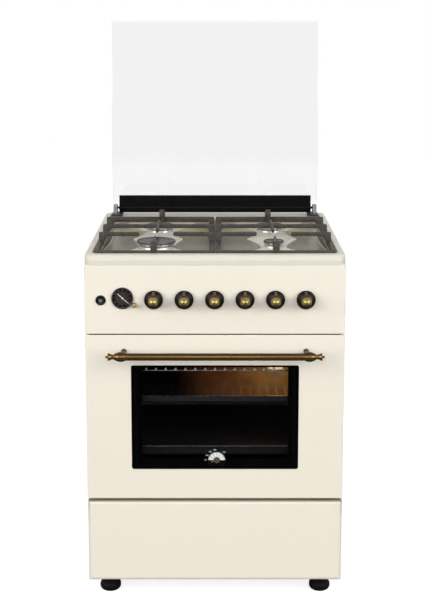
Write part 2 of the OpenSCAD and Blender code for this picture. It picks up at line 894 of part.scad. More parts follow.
// the gas rail with its feed and inlet, and the pipe from each tap to its burner
module gas_pipework() {
    rail_mid = rail_top - rail_size / 2;
    hob_pipe = knob_z - 5;
    oven_pipe = knob_z - 18 + pipe_r;
    cup_low = hob_z - 19;
    grill_d = burner_tail + pipe_r;
    oven_d = grill_d + 12;
    color("silver") from_front() {
        slab(knob_xs[0] - 19, feed_x + 16, tap_back - rail_size, tap_back,
            rail_top - rail_size, rail_top);
        mid_slab(half_w - sheet, tap_back - rail_size, tap_back, rail_mid - 1, rail_mid + 1);
        rod_d(feed_r, tap_back, body_d + more, feed_x, rail_mid);
        rod_d(inlet_r, body_d, body_d + inlet_reach, feed_x, rail_mid);
        pipe_run([[knob_xs[0], tap_back, hob_pipe], [knob_xs[0], front_row, hob_pipe],
            [knob_xs[0], front_row, cup_low]], pipe_r);
        pipe_run([[knob_xs[1], tap_back, hob_pipe], [knob_xs[1], rear_row, hob_pipe],
            [-burner_x, rear_row, hob_pipe], [-burner_x, rear_row, cup_low]], pipe_r);
        pipe_run([[knob_xs[2], tap_back, hob_pipe], [knob_xs[2], rear_row, hob_pipe],
            [burner_x, rear_row, hob_pipe], [burner_x, rear_row, cup_low]], pipe_r);
        pipe_run([[knob_xs[3], tap_back, hob_pipe], [knob_xs[3], front_row, hob_pipe],
            [burner_x, front_row, hob_pipe], [burner_x, front_row, cup_low]], pipe_r);
        pipe_run([[knob_xs[4], tap_back, oven_pipe], [knob_xs[4], grill_d, oven_pipe],
            [knob_xs[4], grill_d, grill_z], [0, grill_d, grill_z]], pipe_r);
        pipe_run([[knob_xs[5], tap_back, oven_pipe], [knob_xs[5], oven_d, oven_pipe],
            [knob_xs[5], oven_d, oven_jet_z], [0, oven_d, oven_jet_z],
            [0, burner_tail, oven_jet_z]], pipe_r);
    }
}

module timer_case() {
    color("dimgray") from_front() difference() {
        union() {
            rod_d(timer_r, -4, 0, timer_x, timer_z);
            rod_d(timer_body_r, -1, 12, timer_x, timer_z);
            slab(timer_x - 34, timer_x + 38, 10, 38, timer_z - 30, timer_z + 30);
        }
        rod_d(timer_r - 2, -5, 0, timer_x, timer_z);
        rod_d(set_stem_r + run_fit, 9, 24, set_knob_x, set_knob_z);
    }
    color("dimgray") from_front() rod_d(arbor_r, -2.7, 1, timer_x, timer_z);
}

module timer_lens() {
    color("white", 0.3) from_front()
        rod_d(timer_r - 2 - run_fit, -4, -3, timer_x, timer_z);
}

// a clock hand that points up and is turned clockwise by an angle
module hand(d0, length, tail, w, angle) {
    color("white") from_front() translate([timer_x, d0, timer_z]) rotate([90, 0, 0])
        rotate(angle) difference() {
            union() {
                linear_extrude(0.5) polygon([[-w, -tail], [w, -tail], [w, length * 0.5],
                    [w * 0.5, length], [-w * 0.5, length], [-w, length * 0.5]]);
                cylinder(r = 1.8, h = 0.5);
            }
            translate([0, 0, -more]) cylinder(r = arbor_r + run_fit, h = 3);
        }
}

module hour_hand() { hand(-1, 15, 3, 0.8, hand_hour_angle); }
module minute_hand() { hand(-2, 20, 3, 0.7, hand_minute_angle); }

module timer_knob() {
    color("darkgoldenrod") from_front() {
        difference() {
            translate([set_knob_x, -1, set_knob_z]) rotate([90, 0, 0]) rotate_extrude()
                polygon([[0, 0], [set_knob_r, 0], [set_knob_r, 1.5], [set_knob_r - 0.8, 3],
                    [set_knob_r - 1.2, 9], [set_knob_r - 2.5, 11.5], [0, 12.5]]);
            for (i = [0:11]) {
                translate([set_knob_x, 0, set_knob_z]) rotate([0, i * 30, 0])
                    translate([-0.5, -12, set_knob_r - 1.6]) cube([1, 9, 3]);
            }
        }
        rod_d(set_stem_r, -2, 20, set_knob_x, set_knob_z);
    }
}

module button_bezel() {
    color("black") from_front() difference() {
        union() {
            rod_d(button_ring_r, -3, 0, button_x, button_z);
            rod_d(button_ring_r - 3.1, -1, 28, button_x, button_z);
        }
        rod_d(button_r + run_fit, -4, 25, button_x, button_z);
    }
}

module ignition_button() {
    color("gray") from_front() {
        rod_d(button_r, -5, 20, button_x, button_z);
        translate([button_x, -4.5, button_z]) rotate([90, 0, 0])
            cylinder(r1 = button_r, r2 = button_r - 1.5, h = 1.5);
    }
}

// ---------------------------------------------------------------- hob

// outline of the hob's edge, inset all round and lowered
module hob_block(inset, top) {
    w = body_w - 2 * inset;
    l = body_d - 2 * inset;
    r = hob_edge_r;
    intersection() {
        translate([0, body_d / 2, hob_z - more]) linear_extrude(top - hob_z + more)
            round_rect(w, l, hob_r);
        translate([-half_w, inset, hob_z]) rotate([90, 0, 90]) linear_extrude(body_w)
            difference() {
                translate([0, -more]) square([l, top - hob_z + more]);
                translate([0, top - hob_z - r]) difference() {
                    translate([-more, 0]) square([r + more, r + more]);
                    translate([r, 0]) circle(r);
                }
            }
    }
}

module plateaus() {
    for (b = burners) {
        translate([b[0], b[1], pan_z - sheet / 2])
            cylinder(r1 = b[2] + 26, r2 = b[2] + 12, h = plateau_h + sheet / 2);
    }
}

function cup_r(cap) = cap * 0.66;
electrode_r = 3;

// where each burner's spark electrode stands, beside its head
module electrode_places() {
    for (b = burners) {
        side = b[0] < 0 ? 1 : -1;
        away = b[2] + 6;
        translate([b[0] + side * away * cos(40), b[1] + away * sin(40), 0]) children();
    }
}

module hob_top() {
    wall_half = half_w - rim_side;
    color("ivory") from_front() difference() {
        union() {
            difference() {
                hob_block(0, rim_z);
                difference() {
                    hob_block(sheet, rim_z - sheet);
                    mid_slab(wall_half + sheet, pan_front - sheet, pan_back + sheet,
                        pan_z - sheet, rim_z);
                }
                mid_slab(wall_half, pan_front, pan_back, pan_z, rim_z + more);
                slab(-half_w - more, half_w + more, -more, body_d + more, hob_z - 3, hob_z);
            }
            plateaus();
        }
        for (b = burners) {
            rod_z(cup_r(b[2]) + 0.5, hob_z, rim_z, b[0], b[1]);
        }
        electrode_places() rod_z(electrode_r + 0.2, hob_z, rim_z, 0, 0);
    }
}

// a burner: the cup below the hob, its flange and the crown with its flame ports
module burner_body(cap, ports) {
    crown_r = cap - 2.5;
    difference() {
        union() {
            rod_z(cup_r(cap), hob_z - 19, head_z + 1, 0, 0);
            translate([0, 0, head_z]) cylinder(r1 = crown_r - 1, r2 = crown_r - 3, h = 4);
            translate([0, 0, head_z + 3]) cylinder(r1 = crown_r - 6, r2 = crown_r, h = 7);
            rod_z(crown_r, head_z + 9.9, cap_z, 0, 0);
        }
        for (i = [0:ports - 1]) {
            rotate((i + 0.5) * 360 / ports)
                translate([crown_r - 5, -1.1, cap_z - 4]) cube([8, 2.2, 5]);
        }
    }
}

module burner_bodies() {
    color("silver") from_front() for (b = burners) {
        translate([b[0], b[1], 0]) burner_body(b[2], b[3]);
    }
}

// dished caps with a raised rim
module burner_caps() {
    color("black") from_front() for (b = burners) {
        r = b[2];
        translate([b[0], b[1], cap_z]) rotate_extrude() polygon([[0, 0], [r - 1, 0],
            [r, 1], [r, cap_h - 1.5], [r - 1.5, cap_h], [r - 3.5, cap_h],
            [r - 6.5, cap_h - 2.4], [0, cap_h - 1.8]]);
    }
}

// the spark electrodes at the burners and the spark box on the side panel
module ignition_unit() {
    color("white") from_front() {
        electrode_places() {
            rod_z(electrode_r, hob_z + 2, cap_z - 5, 0, 0);
            rod_z(1, cap_z - 6, cap_z - 1, 0, 0);
        }
        slab(-half_w + sheet, -half_w + spark_box_w, spark_box_d, spark_box_d + spark_box_l,
            hob_z - spark_box_drop - spark_box_h, hob_z - spark_box_drop);
    }
}

// side view of a finger from the frame bar to its tip: rises steeply, then runs level
module finger(base_d, tip_d, wide) {
    l = abs(tip_d - base_d);
    way = tip_d > base_d ? 1 : -1;
    foot = grate_low;
    translate([0, base_d, 0]) scale([1, 1, 1]) mirror([0, way < 0 ? 1 : 0, 0])
        intersection() {
            translate([-wide, 0, 0]) rotate([90, 0, 90]) linear_extrude(2 * wide)
                polygon([[0, foot], [16, foot], [30, grate_top - grate_bar_h],
                    [l - 5, grate_top - grate_bar_h + 2], [l, grate_top - 3],
                    [l - 2, grate_top], [6, grate_top], [0, grate_top - 8]]);
            translate([0, 0, foot]) linear_extrude(grate_top - foot)
                polygon([[-wide, -more], [wide, -more], [wide * 0.75, 16],
                    [grate_bar / 2, l * 0.55], [1.8, l + more], [-1.8, l + more],
                    [-grate_bar / 2, l * 0.55], [-wide * 0.75, 16]]);
        }
}

// a cross bar that stands on the frame at one end and stops short of a burner
module cross_stub(x_frame, x_tip, d) {
    l = abs(x_tip - x_frame);
    way = x_tip > x_frame ? 0 : 1;
    w = grate_bar / 2;
    translate([x_frame, d, 0]) mirror([way, 0, 0]) rotate([90, 0, 0])
        translate([0, 0, -w]) linear_extrude(2 * w)
            polygon([[0, grate_low], [grate_frame, grate_low],
                [grate_frame + 8, grate_top - grate_bar_h], [l - 3, grate_top - grate_bar_h],
                [l, grate_top - 3], [l - 2, grate_top], [2, grate_top], [0, grate_top - 3]]);
}

// the pan support on the right; the left one is its mirror image
module grate() {
    x0 = grate_split;
    x1 = grate_half;
    w = grate_bar / 2;
    f = grate_frame;
    difference() {
        slab(x0, x1, grate_front, grate_back, grate_low, grate_frame_z);
        slab(x0 + f, x1 - f, grate_front + f, grate_back - f, grate_low - more, grate_frame_z + more);
    }
    for (x = [x0 + f / 2, x1 - f / 2]) {
        for (d = [grate_front + f / 2, grate_back - f / 2]) {
            rod_z(4, pan_z, grate_low + more, x, d);
        }
    }
    for (d = [front_row, rear_row]) {
        cross_stub(x0, burner_x - finger_gap, d);
        cross_stub(x1, burner_x + finger_gap, d);
    }
    cross_stub(x0, x1 - 2 * f, grate_mid);
    cross_stub(x1, x0 + 2 * f, grate_mid);
    translate([burner_x, 0, 0]) {
        finger(grate_front, front_row - finger_gap, 8);
        finger(grate_back, rear_row + finger_gap, 8);
        for (way = [0, 1]) {
            translate([0, grate_mid, 0]) mirror([0, way, 0]) translate([-w, 0, 0])
                slab(0, 2 * w, 0, rear_row - finger_gap - grate_mid,
                    grate_top - grate_bar_h, grate_top);
        }
    }
}

module grate_right() {
    color("darkslategray") from_front() grate();
}

module grate_left() {
    color("darkslategray") from_front() mirror([1, 0, 0]) grate();
}

// ---------------------------------------------------------------- lid

module lid_glass() {
    color("lightblue", 0.3) from_front()
        mid_slab(glass_half, glass_d, glass_d + glass_t, glass_low, glass_low + glass_h);
}

// the rail along the glass's lower edge: a front strip, a round bead below it that ends
// in a pin at each side, and a rear strip
module lid_rail() {
    back = glass_d + glass_t;
    pin_end = lid_post_x + lid_pin_in;
    color("black") from_front() difference() {
        union() {
            translate([-rail_half, 0, 0]) rotate([90, 0, 90]) linear_extrude(2 * rail_half)
                polygon([[glass_d - rail_t, rail_high], [glass_d - rail_t, rail_high - 22],
                    [glass_d - rail_t - 3, rail_high - 26], [glass_d - rail_t - 3, rail_low],
                    [back + rail_t, rail_low], [back + rail_t, rail_high]]);
            rod_x(rail_bead_r, -rail_half, rail_half, lid_axis_d, lid_axis_z);
            rod_x(lid_pin_r, -pin_end, pin_end, lid_axis_d, lid_axis_z);
        }
        mid_slab(rail_half + more, glass_d, back, glass_low, rail_high + more);
    }
}

// the posts that stand on the sockets, bored for the rail's pins
module lid_hinges() {
    color("silver") from_front() both_sides() difference() {
        union() {
            rod_z(lid_post_r, rim_z + socket_h, lid_post_high - 2, lid_post_x, lid_axis_d);
            translate([lid_post_x, lid_axis_d, lid_post_high - 2])
                cylinder(r1 = lid_post_r, r2 = lid_post_r - 2, h = 2);
        }
        rod_x(lid_pin_r + run_fit, lid_post_x - lid_post_r - more,
            lid_post_x + lid_pin_in + slide_gap, lid_axis_d, lid_axis_z);
    }
}

// the low blocks on the hob that carry the posts
module lid_sockets() {
    x0 = lid_post_x - socket_in;
    x1 = lid_post_x + socket_out;
    d0 = lid_axis_d - socket_fore;
    d1 = lid_axis_d + socket_aft;
    color("darkslategray") from_front() both_sides()
        translate([0, d1, 0]) rotate([90, 0, 0]) linear_extrude(d1 - d0)
            polygon([[x0, rim_z], [x1, rim_z], [x1 - 6, rim_z + socket_h],
                [x0, rim_z + socket_h]]);
}

side_panels();
back_panel();
base_plate();
front_frame();
hob_top();
control_panel();
oven_cavity();
insulation();
oven_floor();
oven_burners();
gas_pipework();
gas_taps();
burner_bodies();
burner_caps();
ignition_unit();
timer_case();
timer_lens();
button_bezel();
shelf_ladders();
wire_rack();
baking_trays();
oven_lamp();
door_seal();
hinge_brackets();
lid_sockets();
back_fittings();
door_panel();
door_glasses();
door_inner_frame();
door_hinge_leaves();
door_handle();
thermometer_case();
thermometer_pointer();
drawer_front();
drawer_box();
lid_glass();
lid_rail();
lid_hinges();
grate_left();
grate_right();
ignition_button();
timer_knob();
hour_hand();
minute_hand();
foot_front_left();
foot_front_right();
foot_rear_left();
foot_rear_right();
tap_plug_1();
tap_plug_2();
tap_plug_3();
tap_plug_4();
tap_plug_5();
tap_plug_6();
knob_1();
knob_2();
knob_3();
knob_4();
knob_5();
knob_6();
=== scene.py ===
"""Looks of a free-standing gas cooker: enamel, brass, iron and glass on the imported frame.

Sizes inside the classes are millimetres in the cooker's own directions: across (to the
right), depth (behind the face of the oven door) and height above the floor.
"""
import logging
import math
from dataclasses import dataclass
from enum import Enum

import bmesh
import bpy
import numpy as np
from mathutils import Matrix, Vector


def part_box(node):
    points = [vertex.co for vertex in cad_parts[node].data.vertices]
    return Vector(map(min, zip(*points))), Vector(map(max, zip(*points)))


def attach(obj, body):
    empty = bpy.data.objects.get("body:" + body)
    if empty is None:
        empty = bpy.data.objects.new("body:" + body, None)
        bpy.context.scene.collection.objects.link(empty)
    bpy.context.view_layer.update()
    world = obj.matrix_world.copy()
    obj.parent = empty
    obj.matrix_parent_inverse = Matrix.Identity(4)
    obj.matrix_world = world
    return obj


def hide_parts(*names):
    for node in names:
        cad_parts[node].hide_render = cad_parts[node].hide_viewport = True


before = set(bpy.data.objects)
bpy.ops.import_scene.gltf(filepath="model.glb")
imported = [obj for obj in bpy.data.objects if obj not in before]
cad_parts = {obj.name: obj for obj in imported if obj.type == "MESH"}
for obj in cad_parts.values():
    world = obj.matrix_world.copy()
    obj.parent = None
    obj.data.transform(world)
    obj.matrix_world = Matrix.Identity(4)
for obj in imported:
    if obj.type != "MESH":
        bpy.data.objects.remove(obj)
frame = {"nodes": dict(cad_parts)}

log = logging.getLogger("cooker")
Colour = tuple[float, float, float]
Profile = tuple[tuple[float, float], ...]
MM = 0.001
BODY = "cooker_body"
FRONT = float(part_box("door_panel")[0].y)
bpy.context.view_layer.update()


class Axis(Enum):
    """The direction that a turned piece's profile runs along."""

    ACROSS = "across"
    OUTWARD = "outward"
    UPWARD = "upward"


# ------------------------------------------------------------------ finishes


class Nodes:
    """The nodes of a material or of the world, added and joined by short calls."""

    def __init__(self, tree: bpy.types.NodeTree) -> None:
        """Starts with the nodes that are there.

        Args:
            tree: the node tree.
        """
        self.tree = tree

    def add(self, kind: str, **sockets: object) -> bpy.types.Node:
        """Adds a node and fills its inputs.

        Args:
            kind: the node's type without its ShaderNode prefix.
            sockets: input names with spaces as underscores, to a value or an output.

        Returns:
            The new node.
        """
        made = self.tree.nodes.new("ShaderNode" + kind)
        for key, value in sockets.items():
            self.feed(made, key.replace("_", " "), value)
        return made

    def feed(self, node: bpy.types.Node, socket: str | int, value: object) -> None:
        """Joins an output to a node's input, or sets the input's number.

        Args:
            node: the node that gets the value.
            socket: the input's name or place.
            value: an output socket, or what the input is set to.
        """
        if isinstance(value, bpy.types.NodeSocket):
            self.tree.links.new(value, node.inputs[socket])
        else:
            node.inputs[socket].default_value = value

    def span(self, value: bpy.types.NodeSocket, low: float, high: float,
             start: object = 0.0, end: object = 1.0) -> bpy.types.NodeSocket:
        """Maps a value's range onto another, clamped.

        Args:
            value: the value to map.
            low: where the value's range starts.
            high: where it ends.
            start: the number or output that low becomes.
            end: the number or output that high becomes.

        Returns:
            The mapped value.
        """
        node = self.add("MapRange", Value=value)
        for place, number in enumerate((low, high, start, end), 1):
            self.feed(node, place, number)
        return node.outputs[0]

    def maths(self, how: str, first: object, second: object = 0.0) -> bpy.types.NodeSocket:
        """Works out one sum.

        Args:
            how: the operation, such as MULTIPLY.
            first: the first number or output.
            second: the second number or output.

        Returns:
            The result.
        """
        node = self.tree.nodes.new("ShaderNodeMath")
        node.operation = how
        self.feed(node, 0, first)
        self.feed(node, 1, second)
        return node.outputs[0]

    def shown(self, *others: str) -> bpy.types.NodeSocket:
        """Gives 1 for camera rays and for the other named kinds, and 0 for the rest.

        Args:
            others: the light path outputs that count too.

        Returns:
            The 0 or 1 as an output.
        """
        path = self.add("LightPath")
        seen = path.outputs["Is Camera Ray"]
        for name in others:
            seen = self.maths("MAXIMUM", seen, path.outputs[name])
        return seen


class Graph(Nodes):
    """A material's nodes."""

    def __init__(self, name: str) -> None:
        """Starts a material with its surface shader.

        Args:
            name: the material's name.
        """
        self.material = bpy.data.materials.new(name)
        self.material.use_nodes = True
        super().__init__(self.material.node_tree)
        self.shader = self.tree.nodes["Principled BSDF"]
        self.where = self.add("TexCoord").outputs["Object"]

    def noise(self, size: float, detail: float = 2.0,
              stretch: Colour = (1.0, 1.0, 1.0)) -> bpy.types.NodeSocket:
        """Gives cloudy noise whose blots are about one size.

        Args:
            size: the blots' size in metres.
            detail: how many finer layers it has.
            stretch: a factor for each direction.

        Returns:
            The noise as a value about 0.5.
        """
        turned = self.add("Mapping", Vector=self.where)
        turned.inputs["Scale"].default_value = [s / size for s in stretch]
        return self.add("TexNoise", Vector=turned.outputs[0], Scale=1.0,
                        Detail=detail).outputs["Fac"]

    def cells(self, count: float) -> bpy.types.Node:
        """Adds a pattern of cells.

        Args:
            count: how many cells there are to a metre.

        Returns:
            The pattern's node.
        """
        place = self.add("Mapping", Vector=self.where)
        place.inputs["Scale"].default_value = (count,) * 3
        return self.add("TexVoronoi", Vector=place.outputs[0], Scale=1.0)

    def along(self, letter: str) -> bpy.types.NodeSocket:
        """Gives how far a point lies along X, Y or Z, in metres."""
        return self.add("SeparateXYZ", Vector=self.where).outputs[letter]

    def recess(self) -> bpy.types.NodeSocket:
        """Gives the value that the mesh holds at each point: patina, and painted shade on some
        pieces.
        """
        value = self.add("Attribute")
        value.attribute_name = "recess"
        return value.outputs["Fac"]

    def blend(self, share: object, first: object, second: object) -> bpy.types.NodeSocket:
        """Mixes two colours.

        Args:
            share: how much of the second colour shows.
            first: the colour or output at share 0.
            second: the colour or output at share 1.

        Returns:
            The mixed colour.
        """
        node = self.tree.nodes.new("ShaderNodeMix")
        node.data_type = "RGBA"
        self.feed(node, 0, share)
        for place, colour in ((6, first), (7, second)):
            is_link = isinstance(colour, bpy.types.NodeSocket)
            self.feed(node, place, colour if is_link else (*colour, 1.0))
        return node.outputs[2]

    def relief(self, height: bpy.types.NodeSocket, depth: float, strength: float) -> None:
        """Gives the surface a fine relief.

        Args:
            height: the relief as a value.
            depth: its depth in metres.
            strength: its share from 0 to 1.
        """
        bump = self.add("Bump", Height=height, Distance=depth, Strength=strength)
        self.feed(self.shader, "Normal", bump.outputs[0])


@dataclass(frozen=True)
class Finish:
    """A plain surface: one colour that wanders a little, with fine relief and gloss."""

    name: str
    slot: str
    colour: Colour
    roughness: float = 0.4
    metallic: float = 0.0
    specular: float = 0.5
    mottle: float = 0.06
    mottle_size: float = 0.05
    grain_size: float = 0.0012
    grain_depth: float = 0.00005
    grain: float = 0.3

    def material(self) -> bpy.types.Material:
        """Gives the finish's material, made once."""
        known = bpy.data.materials.get(self.name)
        if known is not None:
            return known
        graph = Graph(self.name)
        graph.feed(graph.shader, "Metallic", self.metallic)
        graph.feed(graph.shader, "Specular IOR Level", self.specular)
        self.paint(graph)
        return graph.material

    def paint(self, graph: Graph) -> None:
        """Sets colour, roughness and relief.

        Args:
            graph: the material's nodes.
        """
        graph.feed(graph.shader, "Base Color", self.clouded(graph, 3.0))
        rough = graph.span(graph.noise(self.mottle_size * 0.35, 4.0), 0.3, 0.7,
                           self.roughness * 0.85, min(1.0, self.roughness * 1.15))
        graph.feed(graph.shader, "Roughness", rough)
        self.grained(graph)

    def clouded(self, graph: Graph, detail: float = 2.0) -> bpy.types.NodeSocket:
        """Gives the finish's colour with soft clouds in which it is a little darker.

        Args:
            graph: the material's nodes.
            detail: how many finer layers the clouds have.

        Returns:
            The colour.
        """
        dark = tuple(c * (1.0 - self.mottle) for c in self.colour)
        cloud = graph.span(graph.noise(self.mottle_size, detail), 0.3, 0.7)
        return graph.blend(cloud, dark, self.colour)

    def grained(self, graph: Graph, detail: float = 2.0,
                stretch: Colour = (1.0, 1.0, 1.0)) -> None:
        """Gives the surface its grain as a fine relief."""
        graph.relief(graph.noise(self.grain_size, detail, stretch), self.grain_depth, self.grain)


@dataclass(frozen=True)
class Enamel(Finish):
    """Vitreous enamel: glossy, with a slow ripple and a few tiny specks."""

    mottle: float = 0.006
    mottle_size: float = 0.3
    grain_size: float = 0.006
    grain_depth: float = 0.00012
    grain: float = 0.12
    speck: Colour = (0.5, 0.45, 0.34)

    def paint(self, graph: Graph) -> None:
        """Sets the enamel's colour, darker and warmer towards the floor, with specks, gloss and
        ripple.

        Args:
            graph: the material's nodes.
        """
        low = tuple(c * f for c, f in zip(self.colour, (0.95, 0.94, 0.92)))
        body = graph.blend(graph.span(graph.along("Z"), 0.1, 0.6), low, self.clouded(graph))
        dot = graph.span(graph.cells(420.0).outputs["Distance"], 0.03, 0.06, 0.35, 0.0)
        graph.feed(graph.shader, "Base Color", graph.blend(dot, body, self.speck))
        rough = graph.span(graph.noise(0.2, 1.0), 0.2, 0.8,
                           self.roughness * 0.94, self.roughness * 1.06)
        graph.feed(graph.shader, "Roughness", rough)
        self.grained(graph, 1.0)


@dataclass(frozen=True)
class HobEnamel(Enamel):
    """The hob's enamel: cream up high, olive grey painted shade in the pan, painted light at its
    rear.

    The drawer wears it too, with its own low colour as painted shade under its upper edge.
    """

    # low: the olive colour of the painted shade in the pan
    low: Colour = (0.225, 0.213, 0.168)

    def paint(self, graph: Graph) -> None:
        """Sets the cream, the pan's olive painted shade, and the painted light that pales its rear.

        Args:
            graph: the material's nodes.
        """
        super().paint(graph)
        cream = graph.shader.inputs["Base Color"].links[0].from_socket
        cloud = graph.span(graph.noise(0.11, 2.0, (1.0, 0.6, 1.0)), 0.3, 0.7)
        warm = tuple(c * f for c, f in zip(self.low, (1.12, 1.14, 0.92)))
        # painted light: the pan's olive painted shade turns paler towards its rear
        pale = tuple(c * 2.5 for c in warm)
        pan = graph.blend(graph.span(graph.along("Y"), FRONT + 0.29, FRONT + 0.4, 0.0, 0.8),
                          graph.blend(cloud, self.low, warm), pale)
        graph.feed(graph.shader, "Base Color",
                   graph.blend(graph.span(graph.recess(), 0.3, 0.7), cream, pan))


@dataclass(frozen=True)
class Brass(Finish):
    """Antiqued brass: bright crowns, dark patina in the recesses, and painted shade where marked."""

    dark: Colour = (0.035, 0.02, 0.01)

    def paint(self, graph: Graph) -> None:
        """Sets the brass colour from the piece's patina and painted shade value and its streaks.

        Args:
            graph: the material's nodes.
        """
        streak = graph.span(graph.noise(0.004, 4.0), 0.45, 0.8)
        share = graph.maths("MAXIMUM", graph.span(graph.recess(), 0.02, 0.5),
                            graph.maths("MULTIPLY", streak, 0.15))
        rich = tuple(c * 0.8 for c in self.colour)
        body = graph.blend(graph.span(graph.noise(0.02, 2.0), 0.3, 0.7), rich, self.colour)
        graph.feed(graph.shader, "Base Color", graph.blend(share, body, self.dark))
        rough = graph.maths("ADD", self.roughness, graph.maths("MULTIPLY", share, 0.2))
        graph.feed(graph.shader, "Roughness", rough)
        self.grained(graph)


@dataclass(frozen=True)
class Sheet(Finish):
    """Zinc-plated sheet: pale crystals and fine rolling lines."""

    def paint(self, graph: Graph) -> None:
        """Sets the zinc crystals and the rolling lines.

        Args:
            graph: the material's nodes.
        """
        tone = graph.add("SeparateColor", Color=graph.cells(70.0).outputs["Color"]).outputs[0]
        dark = tuple(c * 0.84 for c in self.colour)
        graph.feed(graph.shader, "Base Color", graph.blend(tone, dark, self.colour))
        rough = graph.span(tone, 0.0, 1.0, self.roughness * 0.8, self.roughness * 1.25)
        graph.feed(graph.shader, "Roughness", rough)
        self.grained(graph, 2.0, (1.0, 1.0, 0.04))


@dataclass(frozen=True)
class Glass(Finish):
    """Clear or tinted glass: dark or pale by its alpha, with faint wipe marks."""

    mottle_size: float = 0.12
    alpha: float = 1.0
    transmission: float = 0.0

    def paint(self, graph: Graph) -> None:
        """Sets the glass's tint, its clearness and its wipe marks.

        Args:
            graph: the material's nodes.
        """
        graph.feed(graph.shader, "Base Color", self.clouded(graph))
        graph.feed(graph.shader, "Transmission Weight", self.transmission)
        graph.feed(graph.shader, "Alpha", self.alpha)
        graph.feed(graph.shader, "IOR", 1.45)
        smear = graph.span(graph.noise(0.03, 3.0, (1.0, 1.0, 0.3)), 0.45, 0.75,
                           self.roughness, self.roughness + 0.02)
        graph.feed(graph.shader, "Roughness", smear)


@dataclass(frozen=True)
class OvenEnamel(Finish):
    """Dark oven enamel with pale specks and a painted glow of lamp light near the oven lamp."""

    light: float = 0.0

    def paint(self, graph: Graph) -> None:
        """Sets the specks and the glow.

        Args:
            graph: the material's nodes.
        """
        dot = graph.span(graph.cells(500.0).outputs["Distance"], 0.08, 0.16, 0.5, 0.0)
        graph.feed(graph.shader, "Base Color", graph.blend(dot, self.colour, (0.2, 0.2, 0.21)))
        graph.feed(graph.shader, "Roughness",
                   graph.span(graph.noise(0.05, 2.0), 0.3, 0.7,
                              self.roughness * 0.8, self.roughness * 1.2))
        if self.light > 0.0:
            lamp_glow(graph, self.light)
        self.grained(graph)


@dataclass(frozen=True)
class OvenWire(Finish):
    """Chromed wire with a painted glow of lamp light where it runs near the oven lamp."""

    light: float = 0.8

    def paint(self, graph: Graph) -> None:
        """Sets the chrome and the glow.

        Args:
            graph: the material's nodes.
        """
        super().paint(graph)
        lamp_glow(graph, self.light, (1.0, 0.72, 0.4))


def lamp_glow(graph: Graph, light: float, gold: Colour = (1.0, 0.47, 0.11),
              lamp: Colour = (0.165, 0.19, 0.505), reach: float = 0.27) -> None:
    """Paints the warm light of the oven lamp onto a surface as a glow.

    The painted light falls from the lamp to nothing at the reach by a power of 1.3, turns
    from gold to brown, and ends below the upper tray as the tray's painted shadow.

    Args:
        graph: the material's nodes.
        light: the glow's strength beside the lamp.
        gold: the glow's colour beside the lamp.
        lamp: the lamp's place in metres.
        reach: how far the light gets, in metres.
    """
    away = graph.add("VectorMath")
    away.operation = "DISTANCE"
    graph.feed(away, 0, graph.where)
    away.inputs[1].default_value = lamp
    near = graph.span(away.outputs["Value"], 0.03, reach, 1.0, 0.0)
    above = graph.span(graph.along("Z"), 0.455, 0.485)
    patch = graph.span(graph.noise(0.03, 3.0), 0.35, 0.65, 0.6, 1.0)
    graph.feed(graph.shader, "Emission Color",
               graph.blend(graph.maths("POWER", near, 3.0), (1.0, 0.34, 0.1), gold))
    power = graph.maths("MULTIPLY", graph.maths("POWER", near, 1.3), light)
    graph.feed(graph.shader, "Emission Strength",
               graph.maths("MULTIPLY", graph.maths("MULTIPLY", power, patch), above))


@dataclass(frozen=True)
class Glow(Finish):
    """A lamp's own light, with a painted highlight: a brighter band low in its glass."""

    strength: float = 4.0
    filament: float = 0.494

    def paint(self, graph: Graph) -> None:
        """Sets the glowing, cloudy colour and the painted highlight band.

        Args:
            graph: the material's nodes.
        """
        cloud = graph.span(graph.noise(0.006, 2.0), 0.3, 0.7)
        graph.feed(graph.shader, "Base Color", (*self.colour, 1.0))
        graph.feed(graph.shader, "Emission Color",
                   graph.blend(cloud, self.colour, (1.0, 0.9, 0.6)))
        # painted highlight: the emission is strongest in a band at one height
        off = graph.maths("ABSOLUTE", graph.maths("SUBTRACT", graph.along("Z"), self.filament))
        graph.feed(graph.shader, "Emission Strength",
                   graph.span(off, 0.003, 0.009, self.strength, self.strength * 0.06))
        graph.feed(graph.shader, "Roughness", self.roughness)


CREAM = Enamel("cream_enamel_finish", "cream_enamel", (0.87, 0.815, 0.705), 0.24)
HOB = HobEnamel("hob_enamel_finish", "cream_enamel", (0.84, 0.785, 0.665), 0.26,
                specular=0.2, mottle=0.015, mottle_size=0.25)
# painted shade: the drawer's cream darkens under its upper edge
SHADED = HobEnamel("drawer_painted_shade_finish", "cream_enamel", (0.87, 0.815, 0.705), 0.3,
                   specular=0.4, low=(0.24, 0.215, 0.17))
# painted shade: the hob frame wears the cream enamel darkened
RIM = Enamel("hob_rim_shaded_cream_finish", "cream_enamel", (0.7, 0.67, 0.575), 0.36, specular=0.35)
ZINC = Sheet("zinc_sheet_finish", "zinc_sheet", (0.6, 0.61, 0.62), 0.42, metallic=1.0,
             grain_size=0.0008)
OVEN = OvenEnamel("oven_enamel_finish", "black_enamel", (0.012, 0.012, 0.013), 0.3, light=0.9)
TRAY = OvenEnamel("tray_enamel_finish", "black_enamel", (0.016, 0.016, 0.019), 0.1, grain=0.1)
FRAME_ENAMEL = Finish("frame_enamel_finish", "black_enamel", (0.003,) * 3, 0.4, specular=0.08)
WOOL = Finish("glass_wool_finish", "glass_wool", (0.62, 0.52, 0.2), 0.95, mottle=0.35,
              mottle_size=0.02, grain_size=0.002, grain_depth=0.002, grain=0.9)
ALUMINISED = Sheet("aluminised_finish", "aluminised_steel", (0.5, 0.5, 0.48), 0.5, metallic=1.0)
TUBE = Finish("steel_tube_finish", "steel_tube", (0.5, 0.5, 0.51), 0.38, metallic=1.0,
              mottle=0.15)
